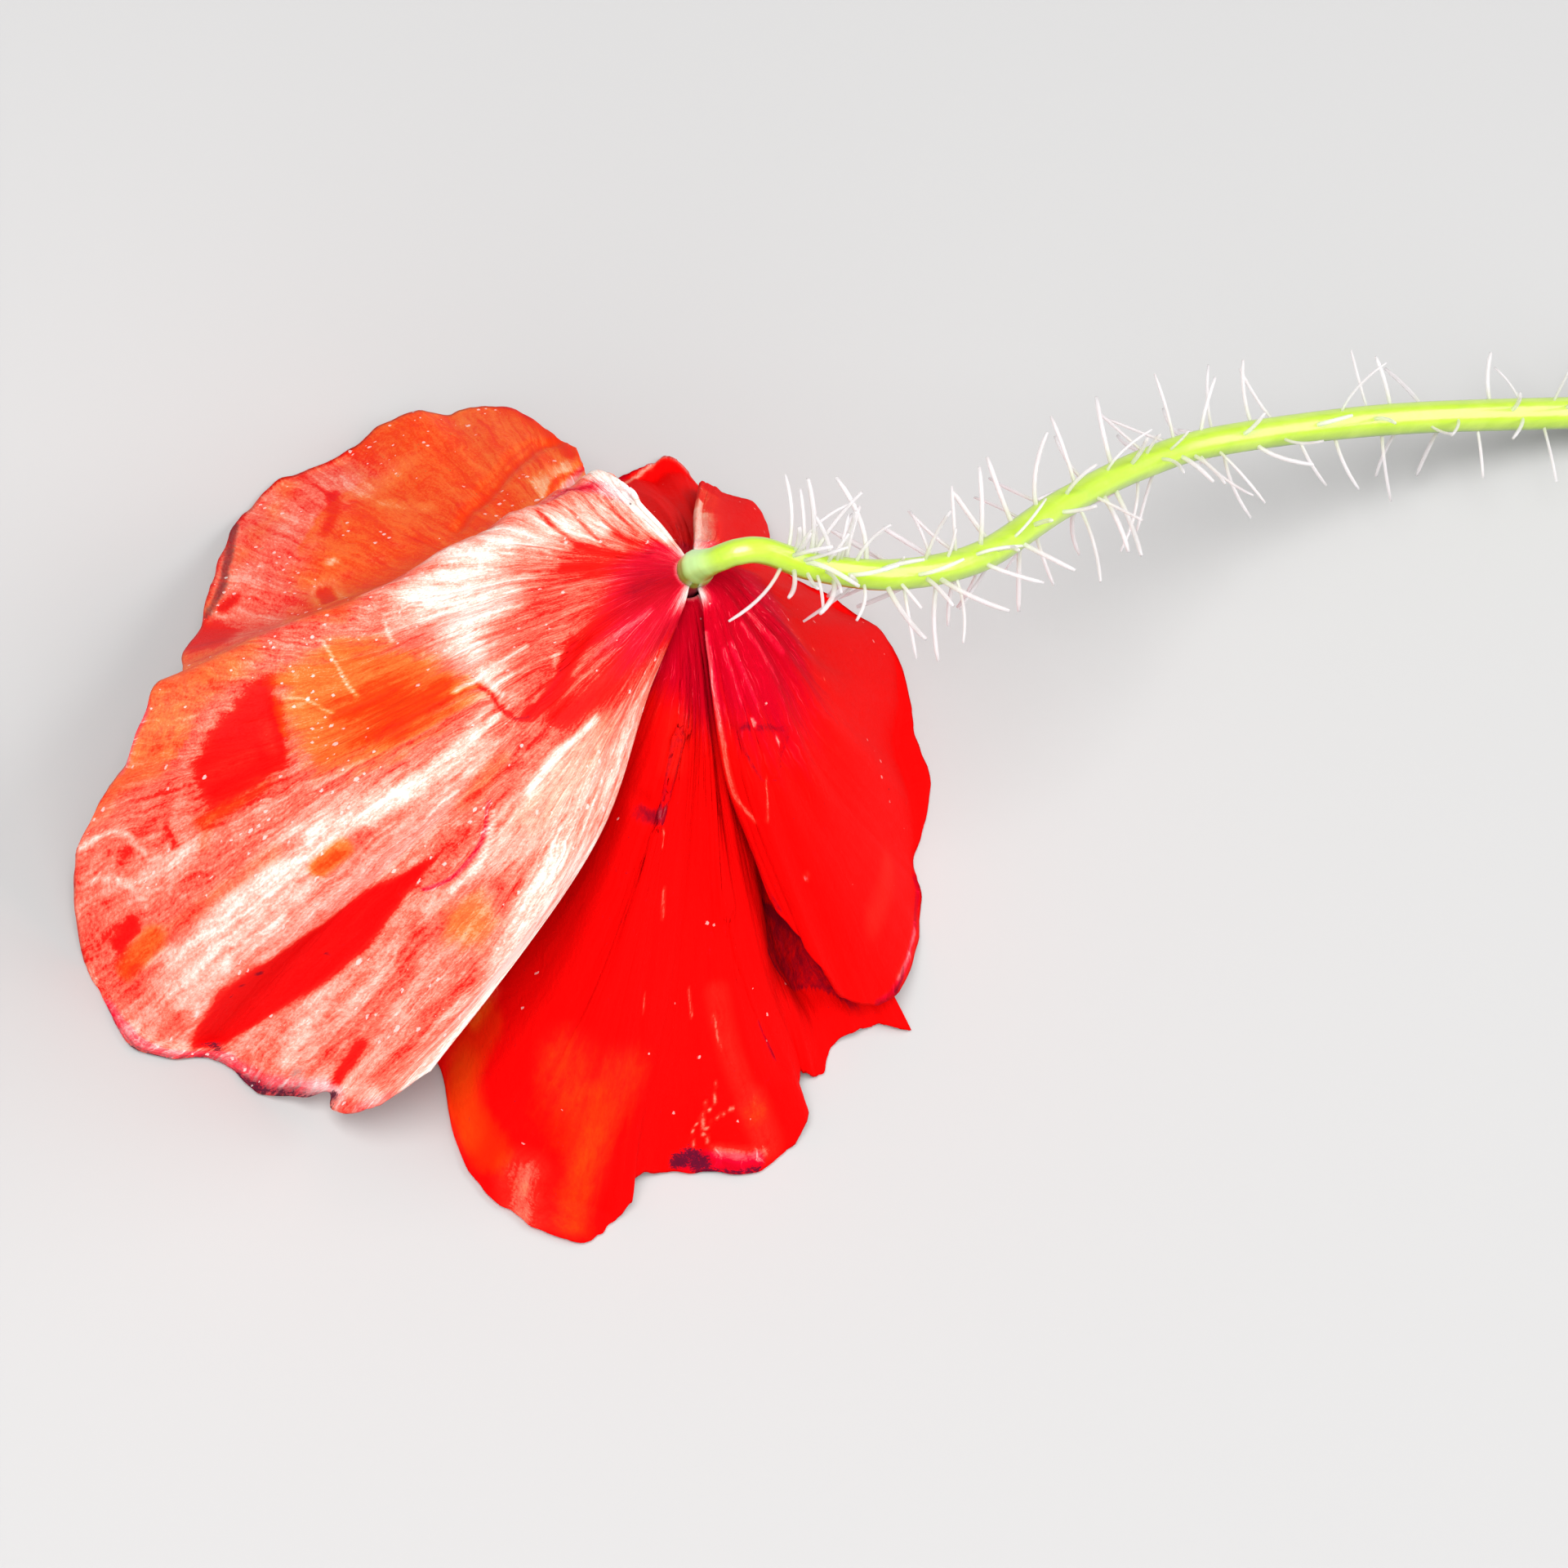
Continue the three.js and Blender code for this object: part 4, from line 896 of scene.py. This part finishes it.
def petal_material(name, amount, calm, gloss, dusty, bare, shine):
    """amount is how strongly the paleness, bleaching with painted sheen, varies from place to place, and
    calm its share where the petal is deep red. gloss is the roughness, dusty how many specks there are,
    bare the level from which they show, and shine the strength of reflections."""
    g = Nodes(name)
    plus, times, off = g.plus, g.times, g.off
    field = {kind: g.attribute(kind) for kind in PAINTED}
    flat = g.attribute("weave", "Vector")
    stray = g.vector("SUBTRACT", g.noise(flat, WANDER, 4, 0.5, "Color"), (0.5, 0.5, 0.5))
    weave = g.vector("ADD", flat, g.scaled(stray, (1.6, 2.0, 0)))
    streak = g.noise(g.scaled(weave, STREAK), 1, 5, 0.62)
    fine = g.noise(g.scaled(weave, FINE_STREAK), 1, 4, 0.6)
    mottle = g.noise(flat, MOTTLE, 5, 0.7)
    grain = g.noise(flat, GRAIN, 3, 0.7)
    blotch = g.noise(flat, BLOTCH, 3, 0.5)

    spread = plus(off(streak, 1.1), off(fine, 1.0), off(mottle, 1.1), off(grain, 0.95), off(blotch, 0.3))
    quiet = plus(times(g.between(field["level"], 0.02, 0.3), 1 - calm), calm)
    even = plus(times(field["orange"], -0.45), 1)
    veins = times(g.between(fine, 0.55, 0.7), g.between(field["magenta"], 0.1, 0.6))
    level = plus(field["level"], times(times(times(spread, amount), quiet), even), times(veins, 0.3))
    red, orange, crimson = petal_colour(g, level)
    lean = g.between(plus(field["orange"], off(streak, 0.5), off(mottle, 0.6)), 0.15, 0.85)
    colour = g.mix(lean, red, orange)
    lean = g.between(plus(field["magenta"], off(streak, 0.7), off(fine, 0.4)), 0.25, 0.8)
    colour = g.mix(lean, colour, crimson)
    # bruises together with painted shade in creases and hollows, from the purple field
    bruise_and_shade = g.between(plus(field["purple"], off(fine, 0.5), off(mottle, 0.9)), 0.3, 0.85)
    colour = g.mix(times(bruise_and_shade, 0.8), colour, BRUISE_AND_SHADE)
    burnt = g.between(plus(field["dry"], off(mottle, 1.6), off(grain, 1.8)), 0.35, 0.75)
    colour = g.mix(times(burnt, 0.9), colour, DRIED)

    nudge = g.fill("ShaderNodeCombineXYZ", times(grain, 0.35))[0]
    nudged = g.vector("ADD", g.scaled(g.place(), (1000, 1000, 1000)), nudge)
    seen = times(g.between(field["level"], bare - 0.05, bare + 0.2), g.between(blotch, 0.42, 0.62))
    for scale, size, share in SPECKS:
        cells = g.node("ShaderNodeTexVoronoi", voronoi_dimensions="2D")
        g.put(cells.inputs["Vector"], nudged)
        cells.inputs["Scale"].default_value = scale
        chance = g.fill("ShaderNodeSeparateColor", cells.outputs["Color"])
        held = g.math("LESS_THAN", chance[0], times(seen, share * dusty))
        reach = times(times(held, plus(chance[1], 0.25)), size)
        speck = g.math("LESS_THAN", cells.outputs["Distance"], reach)
        colour = g.mix(times(speck, 0.35 + 0.25 * dusty), colour, DUST)
    height = plus(times(fine, 0.7), times(streak, 0.5), times(mottle, 0.6), times(blotch, 0.4))
    rough = plus(times(fine, 0.16), times(mottle, 0.2), gloss)
    return g.surface(colour, rough, g.bump(height, 0.5, 0.0002), Specular_IOR_Level=shine)


def stem_material():
    g = Nodes("stem_skin")
    along, place = g.attribute("along"), g.place()
    # up is how far the surface faces upward: the stem and bulb are painted lighter on top as light and
    # darker underneath as shade
    up = g.fill("ShaderNodeSeparateXYZ", g.node("ShaderNodeNewGeometry").outputs["Normal"])[2]
    mottle = g.noise(place, 500, 4, 0.6)
    lines = g.noise(g.scaled(place, (0.12, 1.0, 1.0)), 1500, 3, 0.6)
    # painted shade underneath and painted light on top of the stem
    colour = g.mix(g.between(up, -0.7, 0.75), (0.07, 0.19, 0.0), (0.47, 0.68, 0.025))
    colour = g.mix(g.times(g.between(mottle, 0.4, 0.7), 0.35), colour, (0.60, 0.78, 0.10))
    colour = g.mix(g.times(g.between(lines, 0.5, 0.75), 0.25), colour, (0.28, 0.50, 0.02))
    # the bulb: painted highlight on top, painted shade underneath
    bulb = g.mix(g.between(up, -0.3, 0.7), (0.12, 0.32, 0.02), (0.62, 0.93, 0.36))
    colour = g.mix(g.between(along, -0.1, -1.0), colour, bulb)
    # painted shade: the foot deep between the claws is painted dark red
    colour = g.mix(g.between(along, -1.1, -1.9), colour, (0.16, 0.008, 0.02))
    return g.surface(colour, g.plus(g.times(mottle, 0.2), 0.22),
                     g.bump(g.plus(lines, g.times(mottle, 0.5)), 0.4, 0.0001),
                     Coat_Weight=0.5, Coat_Roughness=0.18, Specular_IOR_Level=0.6)


def hair_material():
    g = Nodes("stem_hair")
    mottle = g.noise(g.place(), 900, 3, 0.6)
    colour = g.mix(g.between(g.attribute("along"), 0.0, 0.5), (0.60, 0.66, 0.38), (0.80, 0.76, 0.76))
    colour = g.mix(g.times(g.between(mottle, 0.4, 0.7), 0.4), colour, (0.88, 0.88, 0.92))
    return g.surface(colour, g.plus(g.times(mottle, 0.2), 0.25), g.bump(mottle, 0.3, 0.00005), clear=0.5)


def ovary_material():
    g = Nodes("ovary_skin")
    part = g.attribute("part")
    mottle = g.noise(g.place(), 700, 4, 0.6)
    colour = g.mix(g.between(mottle, 0.35, 0.7), (0.20, 0.32, 0.10), (0.36, 0.48, 0.20))
    colour = g.mix(g.between(part, 0.3, 0.9), colour, (0.42, 0.46, 0.24))
    colour = g.mix(g.math("GREATER_THAN", part, 1.5), colour, (0.10, 0.03, 0.06))
    return g.surface(colour, g.plus(g.times(mottle, 0.3), 0.4), g.bump(mottle, 0.5, 0.0001),
                     Specular_IOR_Level=0.4)


def stamen_material():
    g = Nodes("stamen_skin")
    part = g.attribute("part")
    pollen = g.noise(g.place(), 2600, 3, 0.6)
    colour = g.mix(part, (0.05, 0.006, 0.025), (0.028, 0.03, 0.045))
    colour = g.mix(g.times(g.between(pollen, 0.55, 0.7), part), colour, (0.16, 0.17, 0.13))
    return g.surface(colour, g.plus(g.times(pollen, 0.4), 0.45), g.bump(pollen, 0.5, 0.0001),
                     Specular_IOR_Level=0.3)


# ---- floor and light ----------------------------------------------------------
FLOOR_REACH = 3   # metres from the middle to each edge
PAPER = ((0.45, 0.445, 0.44), (0.49, 0.485, 0.48))
SKY_COLOUR, SKY_STRENGTH = (0.93, 0.95, 1.0, 1), 0.3
LIT_PLACE = Vector((-0.02, 0.0, 0.012))
# Round lamps: name, place and diameter in metres, and power in watts.
LAMPS = (("key", (-0.22, -0.01, 0.49), 0.30, 2.6), ("fill", (-0.26, -0.34, 0.36), 0.5, 1.2),
         ("side", (0.42, -0.12, 0.34), 0.5, 2.5))


def add_studio():
    mesh = bpy.data.meshes.new("floor")
    corners = [(x * FLOOR_REACH, y * FLOOR_REACH, 0) for x, y in ((-1, -1), (1, -1), (1, 1), (-1, 1))]
    mesh.from_pydata(corners, [], [(0, 1, 2, 3)])
    floor = add_object("floor", mesh)
    g = Nodes("floor_paper")
    mesh.materials.append(g.surface(g.mix(g.noise(g.place(), 3, 3, 0.5), *PAPER), 0.8))

    world = bpy.data.worlds.new("studio")
    bpy.context.scene.world = world
    world.use_nodes = True
    back = world.node_tree.nodes["Background"]
    back.inputs[0].default_value = SKY_COLOUR
    back.inputs[1].default_value = SKY_STRENGTH
    for name, place, size, power in LAMPS:
        data = bpy.data.lights.new(name, "AREA")
        data.shape, data.size, data.energy = "DISK", size, power
        lamp = add_object(name, data)
        lamp.location = place
        lamp.rotation_euler = (LIT_PLACE - Vector(place)).to_track_quat("-Z", "Y").to_euler()
    bpy.context.scene.view_settings.view_transform = "Standard"


# ---- the flower ----------------------------------------------------------------
def dress(piece, material, node):
    piece.data.materials.append(material)
    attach(piece, "root")
    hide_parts(node)


add_camera()
add_studio()
# the left petal's pale colours are bleaching and painted sheen together
bleach_and_sheen = petal_material("petal_bleach_and_sheen_skin", amount=0.7, calm=0.15, gloss=0.35,
                          dusty=0.9, bare=0.15, shine=0.08)
red = petal_material("petal_red_skin", amount=0.4, calm=0.05, gloss=0.5,
                     dusty=0.1, bare=-0.1, shine=0.02)
for petal in PETALS:
    if petal.name == "petal_left":
        dress(petal_object(petal), bleach_and_sheen, petal.name)
    else:
        dress(petal_object(petal), red, petal.name)
dress(stem_object(), stem_material(), "stem")
dress(hair_object(), hair_material(), "stem")
dress(ovary_object(), ovary_material(), "ovary")
dress(stamen_object(), stamen_material(), "stamens")
